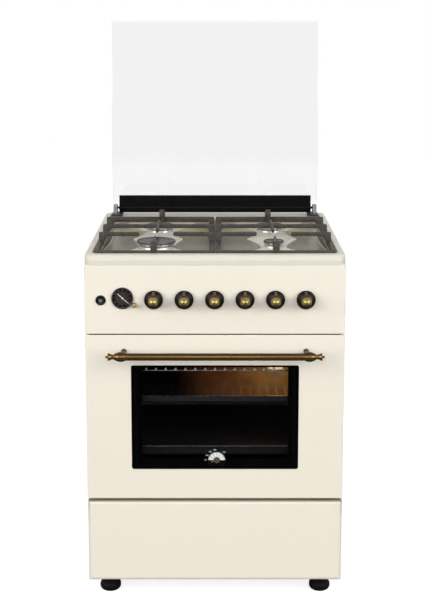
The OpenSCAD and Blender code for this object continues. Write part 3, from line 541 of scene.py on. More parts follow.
TAP = Finish("tap_brass_finish", "tap_brass", (0.72, 0.53, 0.24), 0.34, metallic=1.0,
             mottle=0.15, mottle_size=0.01)
ALLOY = Finish("burner_alloy_finish", "burner_alloy", (0.66, 0.66, 0.64), 0.33, metallic=1.0,
               mottle=0.18, mottle_size=0.012, grain_size=0.0007, grain=0.35)
CAP = Finish("cap_enamel_finish", "cap_enamel", (0.04, 0.038, 0.034), 0.38, mottle=0.2,
             grain_size=0.0015, grain=0.25)
CERAMIC = Finish("ceramic_finish", "ceramic", (0.82, 0.8, 0.74), 0.2, mottle=0.08,
                 mottle_size=0.006)
DIAL = Finish("timer_dial_finish", "timer_black", (0.05, 0.038, 0.037), 0.5, specular=0.2,
              mottle=0.2, mottle_size=0.02)
DIAL_RING = Finish("timer_ring_finish", "timer_black", (0.009, 0.008, 0.007), 0.4,
                   specular=0.2, mottle=0.3, mottle_size=0.01)
LENS = Glass("lens_finish", "clear_glass", (0.0, 0.0, 0.0), 0.02, specular=0.15, alpha=0.05)
CLEAR = Glass("lid_glass_finish", "clear_glass", (0.93, 0.938, 0.928), 0.0,
              mottle=0.008, transmission=1.0)
DARK_PANE = Glass("dark_pane_finish", "dark_glass", (0.001, 0.001, 0.001), 0.01,
                  specular=0.05, alpha=0.04)
PRINT = Finish("black_border_finish", "dark_glass", (0.002, 0.002, 0.002), 0.08, specular=0.04,
               mottle=0.1)
BLACK_GLOSS = Finish("gloss_black_finish", "gloss_black", (0.006, 0.006, 0.006), 0.1,
                     mottle=0.2, mottle_size=0.01, grain=0.05)
WIRE = OvenWire("chromed_wire_finish", "chromed_wire", (0.6, 0.6, 0.59), 0.3, metallic=0.9,
                mottle=0.12, mottle_size=0.01)
# painted highlight: the rack wires' tips are pale and not metallic
WIRE_GLINT = Finish("wire_tip_painted_glint_finish", "chromed_wire", (0.92, 0.92, 0.9), 0.25, mottle=0.05,
             mottle_size=0.004)
HUB = Finish("hub_grey_finish", "timer_black", (0.075, 0.075, 0.07), 0.5, mottle=0.15,
             mottle_size=0.004)
LAMP = Glow("lamp_glass_finish", "lamp_glass", (1.0, 0.6, 0.2), 0.3, strength=5.0)
SEAL = Finish("seal_finish", "seal_rubber", (0.03, 0.03, 0.03), 0.8, grain_size=0.0006,
              grain_depth=0.0002, grain=0.6)
RAIL = Finish("rail_finish", "dark_plastic", (0.004, 0.004, 0.004), 0.3, specular=0.09,
              mottle=0.15, grain_size=0.0008)
ANTIQUE = Brass("antique_brass_finish", "antique_brass", (0.27, 0.165, 0.055), 0.26,
                metallic=1.0, grain_size=0.0006, grain=0.12)
GOLD = Brass("polished_brass_finish", "antique_brass", (0.46, 0.37, 0.13), 0.37,
             metallic=1.0, grain_size=0.0006, grain=0.08)
PALE = Brass("pale_brass_finish", "antique_brass", (0.66, 0.45, 0.2), 0.36, metallic=1.0,
             grain_size=0.0006, grain=0.08)
BRONZE = Brass("knob_neck_finish", "knob_bronze", (0.08, 0.055, 0.036), 0.34, metallic=0.8,
               grain_size=0.0006, grain=0.2)
SKIRT = Finish("knob_skirt_finish", "knob_bronze", (0.012, 0.0085, 0.0065), 0.34, specular=0.1,
               mottle=0.2, mottle_size=0.008, grain=0.08)
RED = Finish("pointer_red_finish", "red_paint", (0.45, 0.09, 0.05), 0.5, mottle=0.15,
             mottle_size=0.004)
HINGE = Finish("hinge_chrome_finish", "hinge_chrome", (0.5, 0.5, 0.49), 0.34, metallic=1.0,
               mottle=0.1, mottle_size=0.01)
IRON = Finish("cast_iron_finish", "cast_iron", (0.076, 0.066, 0.058), 0.5, specular=0.15,
              mottle=0.35, mottle_size=0.012, grain_size=0.0016, grain_depth=0.00025,
              grain=0.5)
GREY = Finish("button_grey_finish", "button_grey", (0.19, 0.2, 0.21), 0.22, mottle=0.15,
              mottle_size=0.004)
WHITE = Finish("white_print_finish", "white_paint", (0.93, 0.93, 0.9), 0.5, mottle=0.04,
               mottle_size=0.004)
DARK_PRINT = Finish("dark_print_finish", "timer_black", (0.03, 0.03, 0.03), 0.6, mottle=0.2,
                    mottle_size=0.004)
FAINT = Finish("faint_print_finish", "timer_black", (0.34, 0.32, 0.29), 0.6, mottle=0.2,
               mottle_size=0.004)
FOOT = Finish("foot_finish", "foot_plastic", (0.006,) * 3, 0.45, specular=0.08, mottle=0.25,
              grain_size=0.0008)
PLASTIC = Finish("dark_plastic_finish", "dark_plastic", (0.02, 0.02, 0.021), 0.5, mottle=0.2)


# ------------------------------------------------------------------ shapes


def lift(points: np.ndarray) -> np.ndarray:
    """Turns millimetres across, in depth and in height into metres in the frame."""
    out = np.asarray(points, float) * MM
    out[..., 1] += FRONT
    return out


@dataclass
class Shape:
    """A mesh in the making, in millimetres, with an optional value at each point."""

    points: np.ndarray
    faces: list[np.ndarray]
    recess: np.ndarray | None = None

    @staticmethod
    def grid(points: np.ndarray, wrap_rows: bool = False, wrap_columns: bool = False,
             caps: bool = False) -> "Shape":
        """Makes a surface from a grid of points.

        Face (i, j) joins points (i, j), (i, j+1), (i+1, j+1) and (i+1, j).

        Args:
            points: an array of rows, columns and three coordinates.
            wrap_rows: whether the last row joins the first.
            wrap_columns: whether the last column joins the first.
            caps: whether the first and the last row are closed with a flat face.

        Returns:
            The surface.
        """
        rows, columns = points.shape[:2]
        index = np.arange(rows * columns).reshape(rows, columns)
        if wrap_rows:
            index = np.vstack([index, index[:1]])
        if wrap_columns:
            index = np.hstack([index, index[:, :1]])
        quads = np.stack([index[:-1, :-1], index[:-1, 1:], index[1:, 1:], index[1:, :-1]], -1)
        faces: list[np.ndarray] = [quads.reshape(-1, 4)]
        if caps:
            ring = np.arange(columns)
            faces.append(ring[::-1][None])
            faces.append((ring + (rows - 1) * columns)[None])
        return Shape(points.reshape(-1, 3).astype(float), faces)

    @staticmethod
    def turned(profile: np.ndarray | Profile, centre: Colour, axis: Axis,
               steps: int = 48,
               scallop: tuple[int, float, float, float] | None = None) -> "Shape":
        """Turns a profile of (radius, distance) about an axis.

        A point is radius * (cos t, sin t) beside the axis at its distance along it. With a
        scallop, the radius shrinks by a depth wherever the wave cos(count * t) is above a
        limit and the distance lies over a start, which cuts teeth.

        Args:
            profile: rows of radius and distance along the axis.
            centre: where distance 0 lies: across, depth and height.
            axis: the direction of the axis.
            steps: how many points go round.
            scallop: count, depth, limit and start distance of the teeth.

        Returns:
            The closed surface.
        """
        rows = np.asarray(profile, float)
        angle = np.linspace(0.0, 2.0 * math.pi, steps, endpoint=False)
        radius = np.repeat(rows[:, :1], steps, 1)
        if scallop is not None:
            count, depth, limit, start = scallop
            wave = np.cos(count * angle) > limit
            radius = radius - depth * (wave[None] & (rows[:, 1:] >= start))
        along = np.repeat(rows[:, 1:], steps, 1)
        side, rise = radius * np.cos(angle), radius * np.sin(angle)
        if axis is Axis.ACROSS:
            grid = np.stack([along, side, rise], -1)
        elif axis is Axis.OUTWARD:
            grid = np.stack([side, -along, rise], -1)
        else:
            grid = np.stack([side, rise, along], -1)
        shape = Shape.grid(grid + np.asarray(centre, float), wrap_columns=True, caps=True)
        shape.recess = np.repeat(recess_of(rows), steps)
        return shape

    @staticmethod
    def loft(loops: list[np.ndarray], closed: bool = False) -> "Shape":
        """Joins loops of equally many points, with flat ends unless it is closed."""
        return Shape.grid(np.stack(loops), wrap_rows=closed, wrap_columns=True, caps=not closed)

    @staticmethod
    def beam(start: Colour, way: Colour, stations: list[tuple[float, ...]],
             corner: float = 2.0) -> "Shape":
        """Carries an upright rounded section along a level line.

        A station is (distance, low, high, width). A point of the section lies at
        start + distance * way + across * side, at a height between low and high, where
        side is the level direction at right angles to the way.

        Args:
            start: where the line starts; its height isn't used.
            way: the line's level direction, of length one.
            stations: the rows of distance, lower edge, upper edge and width.
            corner: the radius of the section's corners.

        Returns:
            The closed beam.
        """
        rows = np.asarray(stations, float)
        side = np.array([-way[1], way[0], 0.0])
        half = np.stack([rows[:, 3], rows[:, 2] - rows[:, 1]], -1)[:, None] * 0.5
        small = np.minimum(corner, half.min(-1, keepdims=True) * 0.95)
        turn = np.linspace(0.0, 2.0 * math.pi, 16, endpoint=False) + math.pi / 16
        arc = np.stack([np.cos(turn), np.sin(turn)], -1)[None]
        flat = np.sign(arc) * (half - small) + arc * small
        middle = (np.asarray(start, float) * np.array([1.0, 1.0, 0.0])
                  + rows[:, :1] * np.asarray(way, float))
        middle[:, 2] = (rows[:, 1] + rows[:, 2]) * 0.5
        grid = middle[:, None] + flat[..., :1] * side
        grid[..., 2] += flat[..., 1]
        return Shape.grid(grid, wrap_columns=True, caps=True)

    @staticmethod
    def joined(shapes: list["Shape"]) -> "Shape":
        """Puts several shapes into one."""
        start, points, faces, recess = 0, [], [], []
        for shape in shapes:
            points.append(shape.points)
            faces.extend(f + start for f in shape.faces)
            empty = np.zeros(len(shape.points))
            recess.append(empty if shape.recess is None else shape.recess)
            start += len(shape.points)
        return Shape(np.concatenate(points), faces, np.concatenate(recess))

    def aged(self, height: float, reach: float, above: float = 0.8) -> "Shape":
        """Paints shade and dark reflections into brass above and below a middle height, which stays
        bright.

        With s = (z - height) / reach, the painted darkening is above * (s - 0.15) / 0.6 over
        the middle and (-s - 0.25) / 0.3 below it, and the darkness value is at least half of it.

        Args:
            height: the middle height.
            reach: the distance from the middle that counts as 1.
            above: how dark the upper side gets.

        Returns:
            The shape itself.
        """
        s = (self.points[:, 2] - height) / reach
        dark_band = np.maximum(above * np.clip((s - 0.15) / 0.6, 0.0, 1.0),
                          np.clip((-s - 0.25) / 0.3, 0.0, 1.0))
        self.recess = np.maximum(self.recess, 0.5 * dark_band)
        return self

    def mirrored(self) -> "Shape":
        """Gives the mirror image across the cooker's middle, with its faces still outward."""
        return Shape(self.points * np.array([-1.0, 1.0, 1.0]),
                     [f[:, ::-1] for f in self.faces], self.recess)

    def mesh(self, name: str) -> bpy.types.Mesh:
        """Writes the shape into a new mesh, in metres, with its normals outward.

        Args:
            name: the mesh's name.

        Returns:
            The mesh.
        """
        mesh = bpy.data.meshes.new(name)
        flat = lift(self.points)
        faces = [row for block in self.faces for row in block.tolist()]
        mesh.from_pydata(flat.tolist(), [], faces)
        if self.recess is not None:
            mesh.attributes.new("recess", "FLOAT", "POINT").data.foreach_set(
                "value", self.recess.astype(np.float32))
        work = bmesh.new()
        work.from_mesh(mesh)
        bmesh.ops.remove_doubles(work, verts=work.verts, dist=1e-6)
        bmesh.ops.recalc_face_normals(work, faces=work.faces)
        work.to_mesh(mesh)
        work.free()
        return mesh


def recess_of(rows: np.ndarray) -> np.ndarray:
    """Says how deep each row of a profile lies below the crowns on both its sides.

    The crown on a side is the largest radius within 7 mm along the axis, and the recess is
    the share by which the row's own radius falls short of the lower of the two crowns.
    """
    away = rows[None, :, 1] - rows[:, None, 1]
    crowns = [np.where((away * side >= 0.0) & (np.abs(away) < 7.0), rows[None, :, 0], 0.0).max(1)
              for side in (-1, 1)]
    return np.clip(1.0 - rows[:, 0] / np.maximum(np.minimum(*crowns), 0.1), 0.0, 1.0)


def smooth_profile(profile: Profile, count: int = 6) -> np.ndarray:
    """Rounds a profile: each inner point becomes a short parabola between its neighbours.

    Args:
        profile: rows of radius and distance.
        count: how many points each bend gets.

    Returns:
        The rounded rows, with the first and the last as given.
    """
    rows = np.asarray(profile, float)
    before = (rows[:-2] + rows[1:-1]) * 0.5
    after = (rows[1:-1] + rows[2:]) * 0.5
    share = np.linspace(0.0, 1.0, count)[:, None]
    bends = [(1 - share) ** 2 * a + 2 * share * (1 - share) * b + share ** 2 * c
             for a, b, c in zip(before, rows[1:-1], after)]
    return np.vstack([rows[:1], *bends, rows[-1:]])


def round_loop(half_w: float, low: float, high: float, radius: float, depth: float,
               steps: int = 8) -> np.ndarray:
    """Gives an upright rounded rectangle, centred across, at a depth.

    Four quarter circles stand in the corners; their ends are joined by straight sides.
    """
    radius = max(radius, 0.01)
    turn = np.linspace(0.0, 0.5 * math.pi, steps)
    middles = ((half_w - radius, high - radius, 0), (-half_w + radius, high - radius, 1),
               (-half_w + radius, low + radius, 2), (half_w - radius, low + radius, 3))
    arcs = [np.stack([x + radius * np.cos(turn + k * math.pi / 2), np.full(steps, depth),
                      z + radius * np.sin(turn + k * math.pi / 2)], -1)
            for x, z, k in middles]
    return np.concatenate(arcs)


def level_loop(half_w: float, front: float, back: float, radius: float, height: float,
               side: int = 90, bend: int = 10) -> np.ndarray:
    """Gives a level rounded rectangle, centred across, with points along its sides too.

    Four quarter circles stand in the corners, and each straight side between two of them
    is split evenly.
    """
    corners = round_loop(half_w, front, back, radius, height, bend)[:, [0, 2, 1]]
    ends = np.roll(corners, -1, 0)[bend - 1::bend]
    share = np.linspace(0.0, 1.0, side + 1, endpoint=False)[1:, None]
    parts: list[np.ndarray] = []
    for k in range(4):
        arc = corners[k * bend:(k + 1) * bend]
        parts += [arc, arc[-1] * (1.0 - share) + ends[k] * share]
    return np.concatenate(parts)


class Maker:
    """Turns shapes into the cooker's pieces and counts them."""

    def __init__(self) -> None:
        """Starts with no pieces."""
        self.count = 0

    def piece(self, name: str, shape: Shape, finish: Finish, body: str,
              stands_for: tuple[str, ...] = (), sharp: float = 35.0) -> bpy.types.Object:
        """Makes one piece, dresses it and lets it ride on its body.

        Args:
            name: the piece's name.
            shape: its surface.
            finish: its finish.
            body: the CAD body that it moves with.
            stands_for: the CAD nodes that it replaces.
            sharp: the angle in degrees above which an edge stays sharp.

        Returns:
            The new object.
        """
        mesh = shape.mesh(name)
        mesh.materials.append(finish.material())
        thing = bpy.data.objects.new(name, mesh)
        bpy.context.scene.collection.objects.link(thing)
        mesh.shade_smooth()
        mesh.set_sharp_from_angle(angle=math.radians(sharp))
        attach(thing, body)
        if stands_for:
            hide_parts(*stands_for)
        self.count += 1
        log.info("piece %s on %s: %d points", name, body, len(mesh.vertices))
        return thing

    def words(self, name: str, texts: list[tuple[str, float, float, float]], size: float,
              depth: float, finish: Finish, body: str) -> bpy.types.Object:
        """Prints upright figures as a thin mesh that faces forward.

        Args:
            name: the piece's name.
            texts: each figure with its place across, its height and its turn in degrees.
            size: the figures' height in millimetres.
            depth: the depth of their back.
            finish: their finish.
            body: the CAD body that they move with.

        Returns:
            The new object.
        """
        points, faces, start = [], [], 0
        for text, across, height, turn in texts:
            curve = bpy.data.curves.new(name, "FONT")
            curve.body, curve.size = text, size
            curve.align_x, curve.align_y = "CENTER", "CENTER"
            holder = bpy.data.objects.new(name, curve)
            bpy.context.scene.collection.objects.link(holder)
            flat = bpy.data.meshes.new_from_object(holder)
            co = np.zeros(len(flat.vertices) * 3)
            flat.vertices.foreach_get("co", co)
            co = co.reshape(-1, 3)
            c, s = math.cos(math.radians(turn)), math.sin(math.radians(turn))
            x, z = co[:, 0] * c - co[:, 1] * s, co[:, 0] * s + co[:, 1] * c
            points.append(np.column_stack([x + across, np.full(len(co), depth), z + height]))
            faces.extend(np.array([p.vertices[:]]) + start for p in flat.polygons)
            start += len(co)
            bpy.data.objects.remove(holder)
            bpy.data.curves.remove(curve)
            bpy.data.meshes.remove(flat)
        mesh = bpy.data.meshes.new(name)
        rows = [row for block in faces for row in block.tolist()]
        mesh.from_pydata(lift(np.concatenate(points)).tolist(), [], rows)
        mesh.materials.append(finish.material())
        thing = bpy.data.objects.new(name, mesh)
        bpy.context.scene.collection.objects.link(thing)
        solid = thing.modifiers.new("thickness", "SOLIDIFY")
        solid.thickness, solid.offset = 0.0001, 0.0
        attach(thing, body)
        self.count += 1
        log.info("figures %s on %s", name, body)
        return thing


def dress(node: str, finish: Finish) -> None:
    """Gives a CAD node that stays its finish."""
    thing = frame["nodes"][node]
    thing.data.materials.clear()
    thing.data.materials.append(finish.material())
    log.info("node %s dressed in %s", node, finish.name)


def fillet(radius: float, steps: int = 5) -> list[tuple[float, float]]:
    """Gives (inset, setback) pairs round a quarter circle from its side to its face."""
    turn = np.linspace(0.0, math.pi / 2, steps)
    return [(radius * (1 - math.cos(t)), radius * (1 - math.sin(t))) for t in turn]


@dataclass
class Pressing:
    """An upright enamelled pan with round edges, as the door, panel and drawer have."""

    half_w: float
    low: float
    high: float
    front: float
    back: float
    edge: float
    corner: float = 3.0
    wall: float = 1.5
    window: tuple[float, float, float, float] | None = None

    def skin(self, gap: float) -> list[np.ndarray]:
        """Gives the loops of one skin, from its open back to its face.

        Args:
            gap: how far the skin lies inside the outer one.

        Returns:
            The loops.
        """
        edge = max(self.edge - gap, 0.4)
        loops = [self.loop(gap, 0.0, self.back)]
        for inset, setback in fillet(edge, 6):
            loops.append(self.loop(gap, inset, self.front + gap + setback))
        loops.append(self.loop(gap, edge + 0.6, self.front + gap))
        return loops

    def loop(self, gap: float, inset: float, depth: float) -> np.ndarray:
        """Gives one loop of the pan, inset from its outline."""
        pull = gap + inset
        return round_loop(self.half_w - pull, self.low + pull, self.high - pull,
                          max(self.corner - pull, 0.3), depth)

    def shape(self) -> Shape:
        """Gives the pan as one closed wall, with the window cut through if it has one.

        Returns:
            The pan's surface.
        """
        outer, inner = self.skin(0.0), self.skin(self.wall)
        if self.window is None:
            return Shape.loft(inner[::-1] + outer)
        half, low, high, radius = self.window
        ring: list[np.ndarray] = []
        for grow, depth in ((1.4, 0.0), (0.5, 0.0), (0.1, 0.35), (0.0, 0.9),
                            (0.0, self.wall), (0.5, self.wall)):
            ring.append(round_loop(half + grow, low - grow, high + grow, radius + grow,
                                   self.front + depth))
        return Shape.loft(outer + ring + inner[::-1], closed=True)


@dataclass
class Casing:
    """The fixed body: control panel, side panels, back, base and the front frame."""

    half_w: float = 300.0
    panel_low: float = 648.0
    panel_high: float = 809.0
    panel_back: float = 42.0
    panel_edge: float = 1.8
    strip: float = 1.0

    def build(self, maker: Maker) -> None:
        """Makes the panel and the black strips of painted shade behind the gaps, and dresses the
        body's CAD nodes.

        Args:
            maker: what makes the pieces.
        """
        panel = Pressing(self.half_w, self.panel_low, self.panel_high, 0.0, self.panel_back,
                         self.panel_edge)
        maker.piece("control_panel_pressing", panel.shape(), CREAM, BODY, ("control_panel",))
        # painted shade: thin black strips stand behind the gaps under the panel and above the drawer
        for name, half, low, high, depth in (("panel_gap_painted_shade", 291.0, 645.5, 652.0, 4.0),
                                             ("drawer_gap_painted_shade", 288.0, 243.6, 249.2, 24.5)):
            loops = [round_loop(half, low, high, 0.3, d) for d in (depth, depth + self.strip)]
            maker.piece(name, Shape.loft(loops), RAIL, BODY)
        for node, finish in (("side_panels", CREAM), ("back_panel", ZINC),
                             ("base_plate", ZINC), ("front_frame", FRAME_ENAMEL),
                             ("insulation", WOOL), ("back_fittings", PLASTIC),
                             ("hinge_brackets", ZINC), ("door_seal", SEAL),
                             ("gas_pipework", TUBE), ("gas_taps", TAP),
                             ("ignition_unit", CERAMIC)):
            dress(node, finish)
        for number in range(1, 7):
            dress(f"tap_plug_{number}", TAP)


@dataclass
class Door:
    """The oven door: enamelled pan, panes, inner frame, handle and thermometer."""

    half_w: float = 300.0
    back: float = 22.0
    edge: float = 1.8
    low: float = 249.0
    high: float = 645.0
    window: tuple[float, float, float, float] = (195.0, 321.0, 573.0, 5.0)
    leaf_x: float = 245.0
    slot_half: float = 5.0
    slot_high: float = 275.5
    slot_depths: tuple[float, float] = (5.0, 23.0)
    bar_half: float = 207.0
    bar_r: float = 8.3
    post_x: float = 211.0
    bar_depth: float = -48.0
    bar_z: float = 607.0
    dial_x: float = 4.0
    dial_z: float = 341.0
    end: Profile = ((8.3, -5.8), (9.2, -5.4), (10.2, -3.6), (11.0, 1.0), (11.2, 5.0),
                    (10.6, 9.5), (9.4, 12.6), (8.8, 14.2), (8.8, 15.6), (7.0, 17.6),
                    (5.3, 20.4), (5.3, 22.4), (6.4, 26.0), (8.2, 30.0), (9.0, 31.8),
                    (8.4, 32.8), (4.0, 33.2), (2.4, 33.8), (3.3, 35.0), (3.2, 36.4),
                    (1.9, 38.2), (0.6, 39.4), (0.0, 39.5))
    post: Profile = ((5.0, -37.5), (4.6, -22.0), (4.8, -10.0), (5.6, -7.5), (5.2, -6.0),
                     (6.2, -4.0), (6.4, -1.5), (6.2, 0.0))

    def build(self, maker: Maker) -> None:
        """Makes the door's pieces.

        Args:
            maker: what makes the pieces.
        """
        pan = Pressing(self.half_w, self.low, self.high, 0.0, self.back, self.edge,
                       window=self.window)
        pressing = maker.piece("door_pressing", pan.shape(), CREAM, "oven_door",
                               ("door_panel",))
        self.hinge_slots(pressing)
        dress("door_inner_frame", FRAME_ENAMEL)
        dress("door_hinge_leaves", ZINC)
        dress("thermometer_case", RAIL)
        self.panes(maker)
        self.handle(maker)
        self.thermometer(maker)

    def hinge_slots(self, pressing: bpy.types.Object) -> None:
        """Cuts the two slots that the hinge arms pass through as the door turns down."""
        slots = [Shape.loft([round_loop(self.slot_half, self.low - 2.0, self.slot_high, 0.3, d)
                             + np.array([x, 0.0, 0.0]) for d in self.slot_depths])
                 for x in (-self.leaf_x, self.leaf_x)]
        cutter = bpy.data.objects.new("hinge_slot_cutter",
                                      Shape.joined(slots).mesh("hinge_slot_cutter"))
        bpy.context.scene.collection.objects.link(cutter)
        cut = pressing.modifiers.new("hinge_slots", "BOOLEAN")
        cut.operation, cut.solver, cut.object = "DIFFERENCE", "EXACT", cutter
        state = bpy.context.evaluated_depsgraph_get()
        mesh = bpy.data.meshes.new_from_object(pressing.evaluated_get(state))
        pressing.modifiers.clear()
        pressing.data = mesh
        bpy.data.objects.remove(cutter)
        log.info("piece %s: cut for its hinges, %d points", pressing.name, len(mesh.vertices))

    def panes(self, maker: Maker) -> None:
        """Makes both panes with their black printed borders."""
        half, low, high, radius = self.window
        outer = [round_loop(half + 11 - i, low - 11 + i, high + 11 - i, 4.0, d)
                 for i, d in ((0.6, 1.5), (0.0, 2.1), (0.0, 4.9), (0.6, 5.5))]
        maker.piece("door_outer_pane", Shape.loft(outer), DARK_PANE, "oven_door",
                    ("door_glasses",))
        inner = [round_loop(half - 12 - i, low + i, high - i, 4.0, d)
                 for i, d in ((0.6, 32.5), (0.0, 33.1), (0.0, 35.9), (0.6, 36.5))]
        maker.piece("door_inner_pane", Shape.loft(inner), LENS, "oven_door")
        rim = [round_loop(half + g, low - g, high + g, max(radius + g, 1.0), d)
               for g, d in ((9.0, 5.6), (9.0, 5.9), (-6.0, 5.9), (-6.0, 5.6))]
        maker.piece("door_pane_border", Shape.loft(rim, closed=True), PRINT, "oven_door")

    def handle(self, maker: Maker) -> None:
        """Makes the brass bar, and the balls, finials and posts at its ends."""
        bar = Shape.turned([(self.bar_r - 0.3, -self.bar_half), (self.bar_r, -self.bar_half + 1),
                            (self.bar_r, self.bar_half - 1),
                            (self.bar_r - 0.3, self.bar_half)],
                           (0.0, self.bar_depth, self.bar_z), Axis.ACROSS, 40)
        # painted shade: the bar's upper and lower sides are darkened into its colour
        maker.piece("handle_bar", bar.aged(self.bar_z, self.bar_r), ANTIQUE, "oven_door",
                    ("door_handle",))
        end = Shape.turned(smooth_profile(self.end, 4),
                           (self.post_x, self.bar_depth, self.bar_z), Axis.ACROSS, 40)
        post = Shape.turned([(r, -d) for r, d in smooth_profile(self.post, 4)[::-1]],
                            (self.post_x, 0.0, self.bar_z), Axis.OUTWARD, 32)
        post.recess[:] = 0.42
        # painted shade: the ends' upper and lower sides are darkened into their colour too
        right = Shape.joined([end.aged(self.bar_z, 9.5), post])
        maker.piece("handle_end_right", right, ANTIQUE, "oven_door")
        maker.piece("handle_end_left", right.mirrored(), ANTIQUE, "oven_door")

    def thermometer(self, maker: Maker) -> None:
        """Makes the half-round dial, its ticks and figures, and the pointer."""
        x, z, depth = self.dial_x, self.dial_z, 7.3
        turn = np.linspace(0.0, math.pi, 40)
        rim = np.stack([x + 20.4 * np.cos(turn), np.full(40, depth), z + 20.4 * np.sin(turn)], -1)
        plate = Shape.loft([rim, rim + np.array([0.0, 0.3, 0.0])])
        maker.piece("thermometer_plate", plate, WHITE, "oven_door", sharp=20.0)
        maker.piece("thermometer_ticks",
                    Shape.joined([rays((x, z), np.linspace(0.0, math.pi, 21), 17.0, 19.6, 0.3,
                                       depth - 0.2),
                                  rays((x, z), np.linspace(0.5, 2.64, 5), 7.0, 18.5, 0.45,
                                       depth - 0.2)]), DARK_PRINT, "oven_door")
        marks = [(str(50 * k), x + 26.0 * math.cos(t), z + 26.0 * math.sin(t), 0.0)
                 for k, t in ((1, 3.1), (2, 2.65), (3, 2.2), (4, 1.75), (5, 0.85))]
        maker.words("thermometer_figures", marks, 4.6, 5.55, WHITE, "oven_door")
        hub = Shape.turned([(0.8, -2.5), (0.8, 0.0), (7.2, 0.0), (7.6, 0.5), (7.0, 1.1), (0.0, 1.4)],
                           (x, 7.2, z), Axis.OUTWARD, 32)
        maker.piece("thermometer_hub", hub, HUB, "pointer", ("thermometer_pointer",))
        maker.piece("thermometer_needle", needle((x, z), 200.0, 0.0, 14.5, 2.2, 0.4, 6.7),
                    RED, "pointer")


def rays(centre: tuple[float, float], angles: np.ndarray, inner: float, outer: float,
         width: float, depth: float) -> Shape:
    """Gives thin upright bars that run outward from a centre, one for each angle.

    A corner of a bar is centre + r * (cos a, sin a) + w * (-sin a, cos a).
    """
    angles = np.asarray(angles, float)
    way = np.stack([np.cos(angles), np.sin(angles)], -1)
    off = np.stack([-way[:, 1], way[:, 0]], -1) * width * 0.5
    ring = np.stack([way * inner - off, way * outer - off, way * outer + off,
                     way * inner + off], 1) + np.asarray(centre)
    count = len(angles)
    points = np.zeros((count, 8, 3))
    points[:, :4, 0], points[:, 4:, 0] = ring[..., 0], ring[..., 0]
    points[:, :4, 2], points[:, 4:, 2] = ring[..., 1], ring[..., 1]
    points[:, :4, 1], points[:, 4:, 1] = depth, depth + 0.2
    box = np.array([[0, 1, 2, 3], [7, 6, 5, 4], [0, 4, 5, 1], [1, 5, 6, 2], [2, 6, 7, 3],
                    [3, 7, 4, 0]])
    faces = (box[None] + 8 * np.arange(count)[:, None, None]).reshape(-1, 4)
    return Shape(points.reshape(-1, 3), [faces])


def needle(centre: tuple[float, float], angle: float, tail: float, reach: float,
           root: float, tip: float, depth: float) -> Shape:
    """Gives a lozenge-shaped hand as a thin plate, turned anticlockwise from the right."""
    c, s = math.cos(math.radians(angle)), math.sin(math.radians(angle))
    flat = np.array([[-tail, -root * 0.5], [reach * 0.4, -root], [reach, -tip],
                     [reach, tip], [reach * 0.4, root], [-tail, root * 0.5]])
    x = centre[0] + flat[:, 0] * c - flat[:, 1] * s
    z = centre[1] + flat[:, 0] * s + flat[:, 1] * c
    loops = [np.stack([x, np.full(6, d), z], -1) for d in (depth, depth + 0.5)]
    return Shape.loft(loops)


@dataclass
class Drawer:
    """The storage drawer: enamelled front and zinc box."""

    half_w: float = 300.0
    low: float = 43.0
    high: float = 242.5
    face: float = 1.0
    back: float = 22.0
    edge: float = 8.5
    shade: float = 0.72
    shade_from: float = 235.0

    def build(self, maker: Maker) -> None:
        """Makes the front and dresses the box.

        Args:
            maker: what makes the pieces.
        """
        front = Pressing(self.half_w, self.low, self.high, self.face, self.back,
                         self.edge).shape()
        # painted shade: the front darkens towards its upper edge, under the door's lip
        rise = (front.points[:, 2] - self.shade_from) / (self.high - 1.0 - self.shade_from)
        front.recess = self.shade * np.clip(rise, 0.0, 1.0)
        maker.piece("drawer_front_pressing", front, SHADED, "drawer", ("drawer_front",))
        dress("drawer_box", ZINC)


